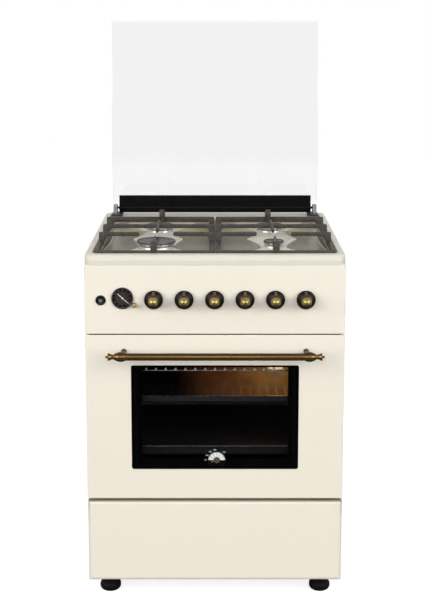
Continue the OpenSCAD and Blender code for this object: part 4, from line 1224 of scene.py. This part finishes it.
@dataclass
class Knob:
    """A gas knob: glossy skirt, bronze neck, brass ball and its mark."""

    number: int
    across: float
    height: float = 730.0
    back: float = -4.0
    skirt: Profile = ((3.0, -55.0), (3.0, 0.0), (20.4, 0.0), (21.6, 0.5), (22.0, 1.6),
                      (22.0, 3.2), (21.4, 4.6), (18.6, 7.2), (15.6, 9.0), (14.4, 9.6),
                      (12.0, 10.0), (0.0, 10.0))
    neck: Profile = ((0.0, 9.2), (14.2, 9.2), (14.0, 10.6), (13.2, 12.2), (11.6, 14.6),
                     (10.9, 17.0), (11.2, 19.0), (12.2, 20.6), (12.0, 21.6), (10.8, 22.4),
                     (0.0, 23.0))

    def build(self, maker: Maker) -> None:
        """Makes the knob's pieces.

        Args:
            maker: what makes the pieces.
        """
        body, at = f"gas_knob_{self.number}", (self.across, self.back, self.height)
        maker.piece(f"knob_skirt_{self.number}",
                    Shape.turned(smooth_profile(self.skirt, 4), at, Axis.OUTWARD, 56),
                    SKIRT, body, (f"knob_{self.number}",))
        maker.piece(f"knob_neck_{self.number}", self.collar(at), BRONZE, body)
        turn = np.linspace(-0.45, math.pi / 2, 14)
        rows = [(0.0, 20.7)] + [(11.0 * math.cos(t), 25.5 + 11.0 * math.sin(t)) for t in turn]
        ball = Shape.turned(rows, at, Axis.OUTWARD, 40)
        # painted shade: the ball's lower half and its top are darkened into its colour
        maker.piece(f"knob_ball_{self.number}", ball.aged(self.height, 11.0, 0.3), GOLD, body)
        turn = np.linspace(0.0, 2 * math.pi, 20, endpoint=False)
        loops = [np.stack([self.across + w * np.cos(turn), np.full(20, self.back - out),
                           self.height + 18.3 + h * np.sin(turn)], -1)
                 for w, h, out in ((3.2, 1.4, 6.8), (3.2, 1.4, 7.9), (2.6, 0.9, 8.3))]
        maker.piece(f"knob_mark_{self.number}", Shape.loft(loops), GREY, body)

    def collar(self, at: Colour) -> Shape:
        """Gives the neck, whose foot runs out to a point at the top.

        The turned radius is multiplied by 1 + 0.42 * exp(-(t / 0.2)^2), where t is the
        angle from straight up, and this fades out along the neck.
        """
        rows = smooth_profile(self.neck, 4)
        shape = Shape.turned(rows, at, Axis.OUTWARD, 96)
        away = shape.points - np.asarray(at)
        angle = np.arctan2(away[:, 0], away[:, 2])
        fade = np.clip((14.0 + away[:, 1]) / 3.0, 0.0, 1.0)
        grow = 1.0 + 0.42 * np.exp(-(angle / 0.2) ** 2) * fade
        shape.points = np.asarray(at) + away * np.stack([grow, np.ones_like(grow), grow], -1)
        return shape


@dataclass
class Timer:
    """The round timer: bezel, dial with figures, hands, lens and its set knob."""

    across: float = -213.0
    height: float = 733.0
    radius: float = 25.0
    grip_x: float = -186.0
    grip_z: float = 717.0

    def build(self, maker: Maker) -> None:
        """Makes the timer's pieces.

        Args:
            maker: what makes the pieces.
        """
        at = (self.across, 0.0, self.height)
        r = self.radius
        rim = smooth_profile(((r - 2.0, 0.0), (r, 0.0), (r, 1.8), (r - 0.7, 3.6),
                              (r - 1.6, 4.0), (r - 2.0, 3.4), (r - 2.0, 0.0)), 4)
        shape = Shape.turned(rim, at, Axis.OUTWARD, 64)
        shape.faces = shape.faces[:1]
        maker.piece("timer_bezel", shape, BRONZE, BODY)
        dress("timer_case", DIAL)
        face = Shape.turned(((22.8, -0.35), (22.8, 0.03)), at, Axis.OUTWARD, 64)
        maker.piece("timer_face", face, DIAL, BODY)
        ring = Shape.turned(((16.4, 0.05), (22.8, 0.05), (22.8, 0.25), (16.4, 0.25),
                             (16.4, 0.05)), at, Axis.OUTWARD, 64)
        ring.faces = ring.faces[:1]
        maker.piece("timer_number_ring", ring, DIAL_RING, BODY)
        where = (self.across, self.height)
        maker.piece("timer_ticks", rays(where, np.radians(np.arange(0, 360, 6)), 21.2, 22.6,
                                        0.25, -0.5), FAINT, BODY)
        marks = [(str(k), self.across + 19.2 * math.sin(math.radians(30 * k)),
                  self.height + 19.2 * math.cos(math.radians(30 * k)), 0.0)
                 for k in range(1, 13)]
        maker.words("timer_figures", marks, 4.2, -0.35, FAINT, BODY)
        self.hand(maker, "hour", "hours", 137.0, 16.5, 0.85, -1.5)
        self.hand(maker, "minute", "minutes", -41.0, 22.0, 0.75, -2.5)
        dress("timer_lens", LENS)
        grip = ((1.5, -20.0), (1.5, 0.8), (5.4, 1.0), (6.0, 1.6), (6.0, 3.2), (5.2, 4.4),
                (5.0, 6.0), (5.0, 10.4), (4.4, 12.4), (2.6, 13.3), (0.0, 13.5))
        # painted shade: the grip is darkened above and below its middle
        maker.piece("timer_grip",
                    Shape.turned(smooth_profile(grip, 3), (self.grip_x, 0.0, self.grip_z),
                                 Axis.OUTWARD, 96, (16, 0.5, 0.2, 5.0)
                                 ).aged(self.grip_z, 9.0, 0.2),
                    PALE, "set_knob", ("timer_knob",))

    def hand(self, maker: Maker, name: str, body: str, angle: float, reach: float,
             root: float, depth: float) -> None:
        """Makes one hand with its boss.

        Args:
            maker: what makes the pieces.
            name: which hand it is.
            body: the CAD body that it moves with.
            angle: its turn in degrees, anticlockwise from the right.
            reach: its length.
            root: half its width at the boss.
            depth: the depth of its face.
        """
        where = (self.across, self.height)
        blade = needle(where, angle, 3.0, reach, root, 0.3, depth)
        boss = Shape.turned(((0.65, 0.0), (2.1, 0.0), (2.1, 0.5), (0.65, 0.6)),
                            (self.across, depth + 0.5, self.height), Axis.OUTWARD, 24)
        maker.piece(f"timer_{name}_hand", Shape.joined([blade, boss]), WHITE, body,
                    (f"{name}_hand",))


@dataclass
class SparkButton:
    """The ignition button: glossy ring and domed cap."""

    across: float = -263.0
    height: float = 728.0

    def build(self, maker: Maker) -> None:
        """Makes the ring and the cap.

        Args:
            maker: what makes the pieces.
        """
        at = (self.across, 0.0, self.height)
        ring = smooth_profile(((8.9, -28.0), (8.9, -0.1), (11.2, 0.0), (12.0, 0.4), (12.0, 1.6),
                               (11.0, 2.8), (9.4, 3.1), (7.6, 2.6), (6.6, 2.0),
                               (6.1, 1.4), (6.05, -24.0)), 3)
        shape = Shape.turned(np.vstack([ring, ring[:1]]), at, Axis.OUTWARD, 48)
        shape.faces = shape.faces[:1]
        maker.piece("spark_button_ring", shape, BLACK_GLOSS, BODY, ("button_bezel",))
        cap = ((6.0, -20.0), (6.0, 4.2), (5.8, 5.2), (5.0, 5.8), (4.2, 5.9), (3.7, 5.5),
               (3.2, 5.4), (0.0, 5.4))
        maker.piece("spark_button_cap", Shape.turned(smooth_profile(cap, 3), at, Axis.OUTWARD, 40),
                    BLACK_GLOSS, "spark_button", ("ignition_button",))
        pip = ((0.0, 5.2), (3.6, 5.2), (3.4, 5.7), (2.0, 6.0), (0.0, 6.0))
        maker.piece("spark_button_pip", Shape.turned(smooth_profile(pip, 3), at, Axis.OUTWARD, 32),
                    GREY, "spark_button")


@dataclass
class Hob:
    """The pressed hob with its burners."""

    half_w: float = 300.0
    depth: float = 600.0
    low: float = 809.0
    rim: float = 833.0
    edge: float = 14.0
    corner: float = 18.0
    wall_half: float = 284.0
    pan_front: float = 28.0
    pan_back: float = 525.0
    pan: float = 818.0
    rise: float = 4.0
    wall_run: float = 9.0
    sheet: float = 1.5
    burners: tuple[tuple[float, float, float, int], ...] = (
        (-142.0, 161.0, 47.5, 30), (-142.0, 381.0, 36.0, 24),
        (142.0, 381.0, 36.0, 24), (142.0, 161.0, 25.0, 18))

    def build(self, maker: Maker) -> None:
        """Makes the hob's pieces.

        Args:
            maker: what makes the pieces.
        """
        maker.piece("hob_frame", self.frame(), RIM, BODY, ("hob_top",), sharp=40.0)
        maker.piece("hob_pan", self.well(), HOB, BODY, sharp=40.0)
        for place, (x, d, r, ports) in enumerate(self.burners, 1):
            self.burner(maker, place, x, d, r, ports)

    def star(self, x: np.ndarray, d: np.ndarray) -> np.ndarray:
        """Says how far each point lies inside the raised stars, in millimetres.

        On each side of the hob, a band of stars runs along the depth. At each burner its
        half width is a waist beside the head, and it grows from there by a power of the
        distance: gently towards the other burner and steeply towards the pan's ends.
        """
        inside = np.full(x.shape, -1e3)
        for side in (-1, 1):
            width = np.full(x.shape, 90.0)
            row = sorted((b for b in self.burners if b[0] * side > 0), key=lambda b: b[1])
            for (_, bd, r, _), away in zip(row, (-1, 1)):
                waist, far = 17.0 + 0.55 * r, np.abs(d - bd)
                grow = np.where((d - bd) * away > 0, 24.0 * (far / 45.0) ** 1.6,
                                (62.0 - waist) * (far / 110.0) ** 1.8)
                width = np.minimum(width, waist + grow)
            inside = np.maximum(inside, width - np.abs(x - row[0][0]))
        return inside

    def floor(self, x: np.ndarray, d: np.ndarray) -> tuple[np.ndarray, np.ndarray]:
        """Gives the pan's height and its share of olive painted shade at each point.

        The height is the pan's, plus a smooth step up to the stars, plus a narrow bead
        along an arc that runs beside each side wall. The bead stays mostly cream as a painted
        highlight.
        """
        step = np.clip((self.star(x, d) + 3.0) / 6.0, 0.0, 1.0)
        step = step * step * (3 - 2 * step)
        middle = (self.pan_front + self.pan_back) / 2
        line = 258.0 + 13.0 * ((d - middle) / 166.0) ** 2
        bead = np.exp(-((np.abs(x) - line) / 1.8) ** 2)
        height = self.pan + self.rise * step + 1.2 * bead * (1 - step)
        return height, (1.0 - step) * (1.0 - 0.8 * bead)

    def walls(self, down: float = 0.0) -> list[np.ndarray]:
        """Gives the loops of the pan's walls, from the rim to the floor, lowered by a drop."""
        top, run = self.wall_half + 2.5, self.wall_run
        drop = self.rim - 2.6 - self.pan
        rows = [(0.0, self.rim), (1.2, self.rim - 0.3), (2.2, self.rim - 1.2),
                (2.8, self.rim - 2.6)]
        rows += [(2.8 + run * t, self.rim - 2.6 - (drop - 1.5) * t) for t in (0.33, 0.66, 1.0)]
        rows += [(4.0 + run, self.pan + 0.6), (5.8 + run, self.pan + 0.12)]
        return [level_loop(top - i, self.pan_front - 2.5 + i, self.pan_back + 2.5 - i,
                           16.0, z - down) for i, z in rows]

    def frame(self) -> Shape:
        """Gives the cream frame as one closed wall: skirt, round rim and pan walls."""
        loops = self.skirt(0.0) + self.walls()
        return Shape.loft(loops + self.walls(self.sheet)[::-1] + self.skirt(self.sheet)[::-1],
                          closed=True)

    def well(self) -> Shape:
        """Gives the pan's floor as one closed sheet, with its stars and beads."""
        start = self.walls()[-1]
        run = self.wall_run + 4.0
        last = level_loop(self.wall_half - run, self.pan_front + run, self.pan_back - run,
                          14.0, self.pan)
        centre = np.array([0.0, (self.pan_front + self.pan_back) / 2, self.pan])
        disc = centre + np.linspace(1.0, 0.0, 110)[:, None, None] * (last[None] - centre)
        disc[..., 2], olive = self.floor(disc[..., 0], disc[..., 1])
        down = np.array([0.0, 0.0, self.sheet])
        under = [np.broadcast_to(centre - down, last.shape), last - down, start - down]
        shape = Shape.grid(np.stack(under + [start] + list(disc)), wrap_columns=True)
        # painted shade: olive on the pan floor off the stars, and on the pan's underside
        shape.recess = np.concatenate([np.ones(4 * len(last)), olive.ravel()])
        return shape

    def skirt(self, gap: float) -> list[np.ndarray]:
        """Gives the loops of the skirt and the round rim, a gap inside the outer face.

        At a height z the front is set back by r - sqrt(r^2 - (z - start)^2) from where its
        large radius starts, and the sides and the back by the same with a small radius.
        """
        loops = []
        heights = np.concatenate([[self.low, self.rim - self.edge],
                                  self.rim - self.edge * (1 - np.sin(np.linspace(
                                      0.15, math.pi / 2, 12)))])
        for z in heights:
            big, small = (max(0.0, z - self.rim + r) for r in (self.edge, 3.0))
            front = self.edge - math.sqrt(self.edge ** 2 - big ** 2)
            side = 3.0 - math.sqrt(9.0 - small ** 2)
            loops.append(level_loop(self.half_w - side - gap, front + gap,
                                    self.depth - side - gap, self.corner - gap - side * 0.5,
                                    z - (gap if z > self.low else 0.0)))
        return loops

    def burner(self, maker: Maker, place: int, x: float, d: float, r: float,
               ports: int) -> None:
        """Makes one burner's toothed crown and dished cap.

        Args:
            maker: what makes the pieces.
            place: the burner's number.
            x: its place across.
            d: its depth.
            r: its cap's radius.
            ports: how many flame ports it has.
        """
        crown, cup = r - 2.5, r * 0.66
        profile = ((0.0, -32.0), (cup, -32.0), (cup, 0.0), (crown - 1.0, 0.0),
                   (crown - 1.0, 0.8), (crown - 2.6, 3.6), (crown - 5.4, 4.2),
                   (crown - 2.2, 6.6), (crown - 0.2, 8.0), (crown, 8.3), (crown, 11.9),
                   (crown - 7.0, 11.9), (crown - 7.0, 8.5), (0.0, 8.5))
        base = self.pan + self.rise
        shape = Shape.turned(np.array(profile), (x, d, base), Axis.UPWARD, ports * 8,
                             (ports, 3.2, 0.35, 7.9))
        nodes = ("burner_bodies",) if place == 1 else ()
        maker.piece(f"burner_crown_{place}", shape, ALLOY, BODY, nodes, sharp=30.0)
        cap = ((0.0, 0.0), (r - 1.2, 0.0), (r, 0.8), (r, 2.6), (r - 0.8, 3.8), (r - 2.4, 4.0),
               (r - 4.0, 3.4), (r - 6.0, 1.8), (r - 9.0, 1.5), (0.0, 2.2))
        nodes = ("burner_caps",) if place == 1 else ()
        maker.piece(f"burner_cap_{place}",
                    Shape.turned(smooth_profile(cap, 4), (x, d, base + 12.0), Axis.UPWARD, 64),
                    CAP, BODY, nodes)


@dataclass
class PanSupport:
    """One cast pan support: low frame, raised bars and fingers that point at the burners."""

    side: str
    inner: float = 1.5
    outer: float = 280.0
    front: float = 33.0
    rows: tuple[float, float] = (161.0, 381.0)
    pan: float = 818.0
    low: float = 824.0
    top: float = 858.0
    bar: float = 7.0
    frame: float = 10.0
    frame_h: float = 13.0
    gap: float = 41.0
    burner_x: float = 142.0

    def build(self, maker: Maker) -> None:
        """Makes the support as one casting.

        Args:
            maker: what makes the pieces.
        """
        shape = self.casting()
        if self.side == "left":
            shape = shape.mirrored()
        maker.piece(f"pan_support_{self.side}", shape, IRON, f"{self.side}_support",
                    (f"grate_{self.side}",), sharp=50.0)

    def ring(self) -> Shape:
        """Gives the low frame: a rounded section carried round a rounded rectangle."""
        back = sum(self.rows) - self.front
        middle, half = (self.inner + self.outer) / 2, (self.outer - self.inner) / 2
        turn = np.linspace(0.0, 2 * math.pi, 16, endpoint=False) + math.pi / 16
        arc = np.stack([np.cos(turn), np.sin(turn)], -1)
        flat = np.sign(arc) * (np.array([self.frame, self.frame_h]) / 2 - 2.2) + arc * 2.2
        loops = []
        for inset, rise in flat:
            inset += self.frame / 2
            loop = level_loop(half - inset, self.front + inset, back - inset,
                              max(11.0 - inset, 1.0), self.low + self.frame_h / 2 + rise,
                              12, 6)
            loops.append(loop + np.array([middle, 0.0, 0.0]))
        return Shape.loft(loops, closed=True)

    def stub(self, x0: float, x1: float, d: float) -> Shape:
        """Gives a cross bar on its upright leg, from the frame's side to its tip."""
        length, way = abs(x1 - x0), (1.0 if x1 > x0 else -1.0, 0.0, 0.0)
        low, top, w = self.low, self.top, self.bar
        under = top - 10.0
        rows = [(0.0, low + 1.0, top - 3.4, w - 2.0), (0.8, low + 0.2, top - 1.2, w - 0.6),
                (2.4, low, top, w), (10.0, low, top, w), (11.6, low + 4.0, top, w),
                (13.0, low + 11.0, top, w), (14.6, under - 3.4, top, w),
                (17.0, under - 1.0, top, w), (21.0, under, top, w)]
        rows += [(s, under, top, w) for s in np.linspace(30.0, length - 10.0, 8)]
        rows += [(length - 5.0, under, top, w), (length - 2.4, under + 0.5, top - 0.4, w - 0.6),
                 (length - 0.8, under + 1.6, top - 1.4, w - 1.4),
                 (length, under + 3.2, top - 3.0, w - 3.0)]
        return Shape.beam((x0, d, 0.0), way, rows)

    def finger(self, d0: float, d1: float) -> Shape:
        """Gives a finger that rises from the frame's end and tapers to the burner."""
        length, way = abs(d1 - d0), (0.0, 1.0 if d1 > d0 else -1.0, 0.0)
        low, top = self.low, self.top
        under = top - 10.0
        rows = [(0.0, low + 0.8, top - 9.0, 14.0), (1.0, low + 0.1, top - 6.6, 15.6),
                (3.0, low, top - 3.6, 15.8), (6.0, low, top - 0.8, 15.0), (9.0, low, top, 14.0),
                (16.0, low, top, 12.0), (19.0, low + 4.6, top, 11.6),
                (24.0, under - 5.4, top, 11.0), (30.0, under - 0.6, top, 10.4),
                (36.0, under, top, 9.8), (length * 0.55, under, top, self.bar),
                (length - 12.0, under + 0.6, top, 5.0), (length - 5.0, under + 2.0, top, 4.2),
                (length - 1.6, under + 4.6, top - 0.8, 3.4), (length, under + 6.4, top - 2.6, 2.0)]
        return Shape.beam((self.burner_x, d0, 0.0), way, rows)

    def casting(self) -> Shape:
        """Gives the right-hand support as one shape."""
        back, mid = sum(self.rows) - self.front, sum(self.rows) / 2
        x, top = self.burner_x, self.top
        parts = [self.ring()]
        for side in (self.inner + 5, self.outer - 5):
            for d in (self.front + 5, back - 5):
                foot = ((0.0, self.pan - self.low), (3.2, self.pan - self.low),
                        (4.0, self.pan - self.low + 0.8), (4.2, 1.0), (0.0, 1.0))
                parts.append(Shape.turned(foot, (side, d, self.low), Axis.UPWARD, 16))
        for d in self.rows:
            parts += [self.stub(self.inner, x - self.gap, d),
                      self.stub(self.outer, x + self.gap, d)]
        parts += [self.stub(self.inner, self.outer - 20, mid),
                  self.finger(self.front, self.rows[0] - self.gap),
                  self.finger(back, self.rows[1] + self.gap)]
        leg = [(0.0, self.low, top - 3.4, 5.0), (2.4, self.low, top, 7.0),
               (10.0, self.low, top, 7.0), (13.0, self.low + 11.0, top, 7.0),
               (21.0, top - 10.0, top, 7.0)]
        parts.append(Shape.beam((self.outer, mid, 0.0), (-1.0, 0.0, 0.0), leg))
        reach = self.rows[1] - self.gap - mid
        rows = [(-reach, top - 7.0, top - 3.0, 3.0), (2.0 - reach, top - 9.4, top - 0.6, 5.4),
                (5.0 - reach, top - 10.0, top, 7.0), (0.0, top - 10.0, top, 7.0),
                (reach - 5.0, top - 10.0, top, 7.0), (reach - 2.0, top - 9.4, top - 0.6, 5.4),
                (reach, top - 7.0, top - 3.0, 3.0)]
        parts.append(Shape.beam((x, mid, 0.0), (0.0, 1.0, 0.0), rows))
        return Shape.joined(parts)


@dataclass
class Lid:
    """The glass lid on its rail, and the fixed posts and sockets that carry it."""

    half_w: float = 280.0
    low: float = 868.0
    high: float = 1360.0
    face: float = 572.0
    back: float = 577.0

    def build(self, maker: Maker) -> None:
        """Makes the lid's pieces.

        Args:
            maker: what makes the pieces.
        """
        edge = ((9.0, 0.0), (4.0, 0.0), (1.2, 0.0), (0.3, 0.5), (0.0, 1.4))
        rows = [(i, self.face + d) for i, d in edge] + [(i, self.back - d) for i, d in edge[::-1]]
        loops = [round_loop(self.half_w - i, self.low + i, self.high - i, 4.0, d)
                 for i, d in rows]
        maker.piece("lid_pane", Shape.loft(loops), CLEAR, "lid", ("lid_glass",))
        dress("lid_rail", RAIL)
        dress("lid_hinges", HINGE)
        dress("lid_sockets", PLASTIC)


@dataclass
class Feet:
    """The four screw feet."""

    profile: Profile = ((0.0, 0.0), (18.0, 0.0), (21.5, 1.8), (24.2, 5.0), (25.2, 8.5),
                        (25.2, 14.5), (24.2, 17.0), (21.6, 19.2), (21.4, 24.0), (21.4, 45.8),
                        (20.6, 46.8), (5.0, 47.2), (5.0, 75.0), (0.0, 75.5))
    across: float = 253.0
    front: float = 52.0
    rear: float = 560.0

    def build(self, maker: Maker) -> None:
        """Makes each foot on its own body.

        Args:
            maker: what makes the pieces.
        """
        rows = smooth_profile(self.profile, 3)
        for end, d in (("front", self.front), ("rear", self.rear)):
            for side, x in (("left", -self.across), ("right", self.across)):
                node, body = f"foot_{end}_{side}", f"foot_{end[0]}{side[0]}"
                maker.piece(f"{node}_pad", Shape.turned(rows, (x, d, 0.0), Axis.UPWARD, 48),
                            FOOT, body, (node,))


@dataclass
class Oven:
    """What the oven holds: cavity, rack, trays, burners and lamp."""

    front: float = 58.0
    back: float = 440.0
    rack_half: float = 222.0
    rack_z: float = 544.0
    wires: int = 19
    tray_half: float = 210.5
    trays: tuple[tuple[float, float], ...] = ((355.0, 25.0), (479.0, 19.0))
    # painted highlights: radius and height of each thin rod before a tray's front edge
    tray_rods: tuple[tuple[float, float], ...] = ((0.32, 357.0), (0.14, 481.0))
    lamp: Colour = (165.0, 470.0, 505.0)

    def build(self, maker: Maker) -> None:
        """Makes the rack, the trays and the lamp's glass, and dresses the other nodes.

        Args:
            maker: what makes the pieces.
        """
        for node, finish in (("oven_cavity", OVEN), ("oven_floor", TRAY),
                             ("oven_burners", ALUMINISED), ("shelf_ladders", WIRE)):
            dress(node, finish)
        maker.piece("oven_rack", self.rack(), WIRE, BODY, ("wire_rack",))
        # painted highlights: pale tips on the wires' front ends
        tip = ((1.9, 1.0), (2.8, 1.6), (3.0, 2.8), (2.2, 4.0), (0.0, 4.5))
        half = self.rack_half - 12
        tips = [Shape.turned(tip, (x, self.front + 3, self.rack_z + 2.4), Axis.OUTWARD, 16)
                for x in np.linspace(-half, half, self.wires)]
        maker.piece("oven_rack_tips", Shape.joined(tips), WIRE_GLINT, BODY)
        trays = [self.tray(z, deep) for z, deep in self.trays]
        maker.piece("oven_trays", Shape.joined(trays), TRAY, BODY, ("baking_trays",))
        dome = ((19.7, -26.0), (19.7, 0.0), (23.0, 0.0), (23.0, 1.6), (20.0, 3.0), (18.0, 6.0),
                (13.0, 10.5), (6.0, 12.6), (0.0, 13.0))
        glass = Shape.turned(smooth_profile(dome, 4), self.lamp, Axis.OUTWARD, 40)
        maker.piece("oven_lamp_glass", glass, LAMP, BODY, ("oven_lamp",))

    def rack(self) -> Shape:
        """Gives the rack: rods, wires, and thin rods as painted highlights on the trays' front
        edges.
        """
        half, z = self.rack_half, self.rack_z
        rods = []
        for d in (self.front + 3, self.back - 3):
            rods.append(Shape.turned(((1.0, -half), (1.4, 0.6 - half), (1.4, half - 0.6),
                                      (1.0, half)), (0.0, d, z - 1.0), Axis.ACROSS, 20))
        long = self.back - self.front - 6
        for x in (3 - half, half - 3):
            rods.append(Shape.turned(((3.0, -long), (3.0, 0.0)), (x, self.front + 3, z),
                                     Axis.OUTWARD, 20))
        # painted highlights: thin glowing rods along the trays' front edges
        for r, height in self.tray_rods:
            rods.append(Shape.turned(((r, -half), (r, half)), (0.0, self.front - r, height),
                                     Axis.ACROSS, 12))
        wire = ((1.7, -long), (1.7, 1.0), (1.2, 1.4))
        for x in np.linspace(12 - half, half - 12, self.wires):
            rods.append(Shape.turned(wire, (x, self.front + 3, z + 0.5), Axis.OUTWARD, 16))
        return Shape.joined(rods)

    def tray(self, z: float, deep: float) -> Shape:
        """Gives one tray as a closed sheet: flat rim, walls, round bends and floor.

        Args:
            z: the height of the rim's lower face.
            deep: how far the floor's under face lies below the rim's upper face.

        Returns:
            The tray.
        """
        floor = z + 3.5 - deep
        rows = [(10.5, 6.0, z + 0.5), (10.5, 6.0, z + 1.5), (10.0, 5.5, z + 2.0),
                (2.2, 2.2, z + 2.0), (0.6, 0.6, z + 1.5), (0.0, 0.0, z + 0.2)]
        under = [(10.5, 6.0, z + 0.5), (3.4, 3.4, z + 0.5), (1.8, 1.8, z), (1.5, 1.5, z - 1.0)]
        for rim, r, out, base in ((rows, 6.0, 0.0, floor), (under, 7.5, 1.5, floor - 1.5)):
            rim += [(out - i, out - i, base + h) for i, h in fillet(r, 7)]
            rim += [(-9.0, -9.0, base), (-60.0, -60.0, base)]
        loops = [level_loop(self.tray_half + x, self.front + 6 - d, self.back - 6 + d, 12.0 + x / 2,
                            h, 8, 6) for x, d, h in under[:0:-1] + rows]
        return Shape.loft(loops)


# ------------------------------------------------------------------ studio


@dataclass
class Studio:
    """Floor, white surroundings, soft lamps and the camera."""

    ambient: float = 0.25
    front_gloss: float = 0.3
    floor_near: float = 0.84
    paper: float = 0.35
    camera_depth: float = -2757.0
    camera_height: float = 1389.0
    pitch: float = 8.68
    lens: float = 72.05
    shift: float = -0.1792

    def build(self) -> None:
        """Makes the floor, world, lamps and camera."""
        self.floor()
        self.world()
        self.lamp("key", (-3.6, -3.3, 2.3), (0.0, -0.2, 0.6), 3.4, 167.0)
        self.lamp("fill", (3.6, -3.3, 2.3), (0.0, -0.2, 0.6), 3.4, 162.0)
        self.lamp("middle", (0.0, -4.6, 2.6), (0.0, -0.2, 0.6), 2.2, 44.0)
        self.lamp("top", (0.0, 0.4, 3.6), (0.0, 0.0, 0.8), 2.4, 5.0)
        self.camera()

    def floor(self) -> None:
        """Makes a level pale floor that keeps the shadow and shows as white."""
        half = 8.0
        grid = np.array([[-half, -half, 0.0], [half, -half, 0.0], [half, half, 0.0],
                         [-half, half, 0.0]])
        mesh = bpy.data.meshes.new("floor")
        mesh.from_pydata(grid.tolist(), [], [[0, 1, 2, 3]])
        thing = bpy.data.objects.new("floor", mesh)
        bpy.context.scene.collection.objects.link(thing)
        graph = Graph("floor_paper")
        away = graph.add("VectorMath")
        away.operation = "LENGTH"
        graph.feed(away, 0, graph.where)
        reach = graph.span(away.outputs["Value"], 0.75, 1.5)
        paper = (self.paper,) * 3
        graph.feed(graph.shader, "Base Color",
                   graph.blend(reach, paper, tuple(c * 0.2 for c in paper)))
        graph.feed(graph.shader, "Roughness", 0.9)
        graph.feed(graph.shader, "Specular IOR Level", 0.0)
        white = graph.span(away.outputs["Value"], 0.4, 1.3, self.floor_near, 1.0)
        seen = graph.maths("MULTIPLY", graph.shown("Is Transmission Ray"), white)
        graph.feed(graph.shader, "Emission Color", (1.0, 1.0, 1.0, 1.0))
        graph.feed(graph.shader, "Emission Strength", seen)
        mesh.materials.append(graph.material)

    def world(self) -> None:
        """Sets surroundings that are white where seen and softer where they light.

        To a glossy ray their strength runs from the front's gloss to 1 at the rear, by
        1 + glossy * (rear - 1). To a ray that is only lit by them it is the ambient.
        """
        world = bpy.data.worlds.new("studio")
        bpy.context.scene.world = world
        world.use_nodes = True
        nodes = Nodes(world.node_tree)
        where = nodes.add("TexCoord").outputs["Generated"]
        depth = nodes.add("SeparateXYZ", Vector=where).outputs["Y"]
        rear = nodes.span(depth, -0.25, 0.15, self.front_gloss, 1.0)
        glossy = nodes.add("LightPath").outputs["Is Glossy Ray"]
        gloss = nodes.maths("ADD", 1.0, nodes.maths(
            "MULTIPLY", nodes.maths("SUBTRACT", rear, 1.0), glossy))
        back = nodes.tree.nodes["Background"]
        nodes.feed(back, "Color", (1.0, 1.0, 1.0, 1.0))
        nodes.feed(back, "Strength",
                   nodes.span(nodes.shown("Is Glossy Ray", "Is Transmission Ray"), 0.0, 1.0,
                              self.ambient, gloss))

    def lamp(self, name: str, at: Colour, aim: Colour, size: float, power: float) -> None:
        """Hangs one soft square lamp.

        Args:
            name: the lamp's name.
            at: its place in metres.
            aim: the point it faces.
            size: the length of its side.
            power: its power in watts.
        """
        light = bpy.data.lights.new(name, "AREA")
        light.size, light.energy = size, power
        thing = bpy.data.objects.new(name, light)
        bpy.context.scene.collection.objects.link(thing)
        way = np.asarray(aim) - np.asarray(at)
        thing.location = at
        flat = math.hypot(way[0], way[1])
        thing.rotation_euler = (math.atan2(flat, -way[2]), 0.0, math.atan2(-way[0], way[1]))

    def camera(self) -> None:
        """Stands the camera where the photograph was taken from."""
        lens = bpy.data.cameras.new("camera")
        lens.lens, lens.sensor_width = self.lens, 36.0
        lens.shift_y = self.shift
        thing = bpy.data.objects.new("camera", lens)
        bpy.context.scene.collection.objects.link(thing)
        thing.location = (0.0, FRONT + self.camera_depth * MM, self.camera_height * MM)
        thing.rotation_euler = (math.radians(90.0 - self.pitch), 0.0, 0.0)
        bpy.context.scene.camera = thing
        bpy.context.scene.view_settings.view_transform = "Standard"


def main() -> None:
    """Builds every sub-assembly in order, then the studio."""
    logging.basicConfig(level=logging.INFO, format="%(name)s: %(message)s")
    maker = Maker()
    knobs = [Knob(k + 1, -141.0 + 70.0 * k) for k in range(6)]
    for assembly in (Casing(), Oven(), Door(), Drawer(), Hob(), PanSupport("left"),
                     PanSupport("right"), Lid(), Timer(), SparkButton(), *knobs, Feet()):
        assembly.build(maker)
    Studio().build()
    bpy.context.view_layer.update()


if __name__ == "__main__":
    main()
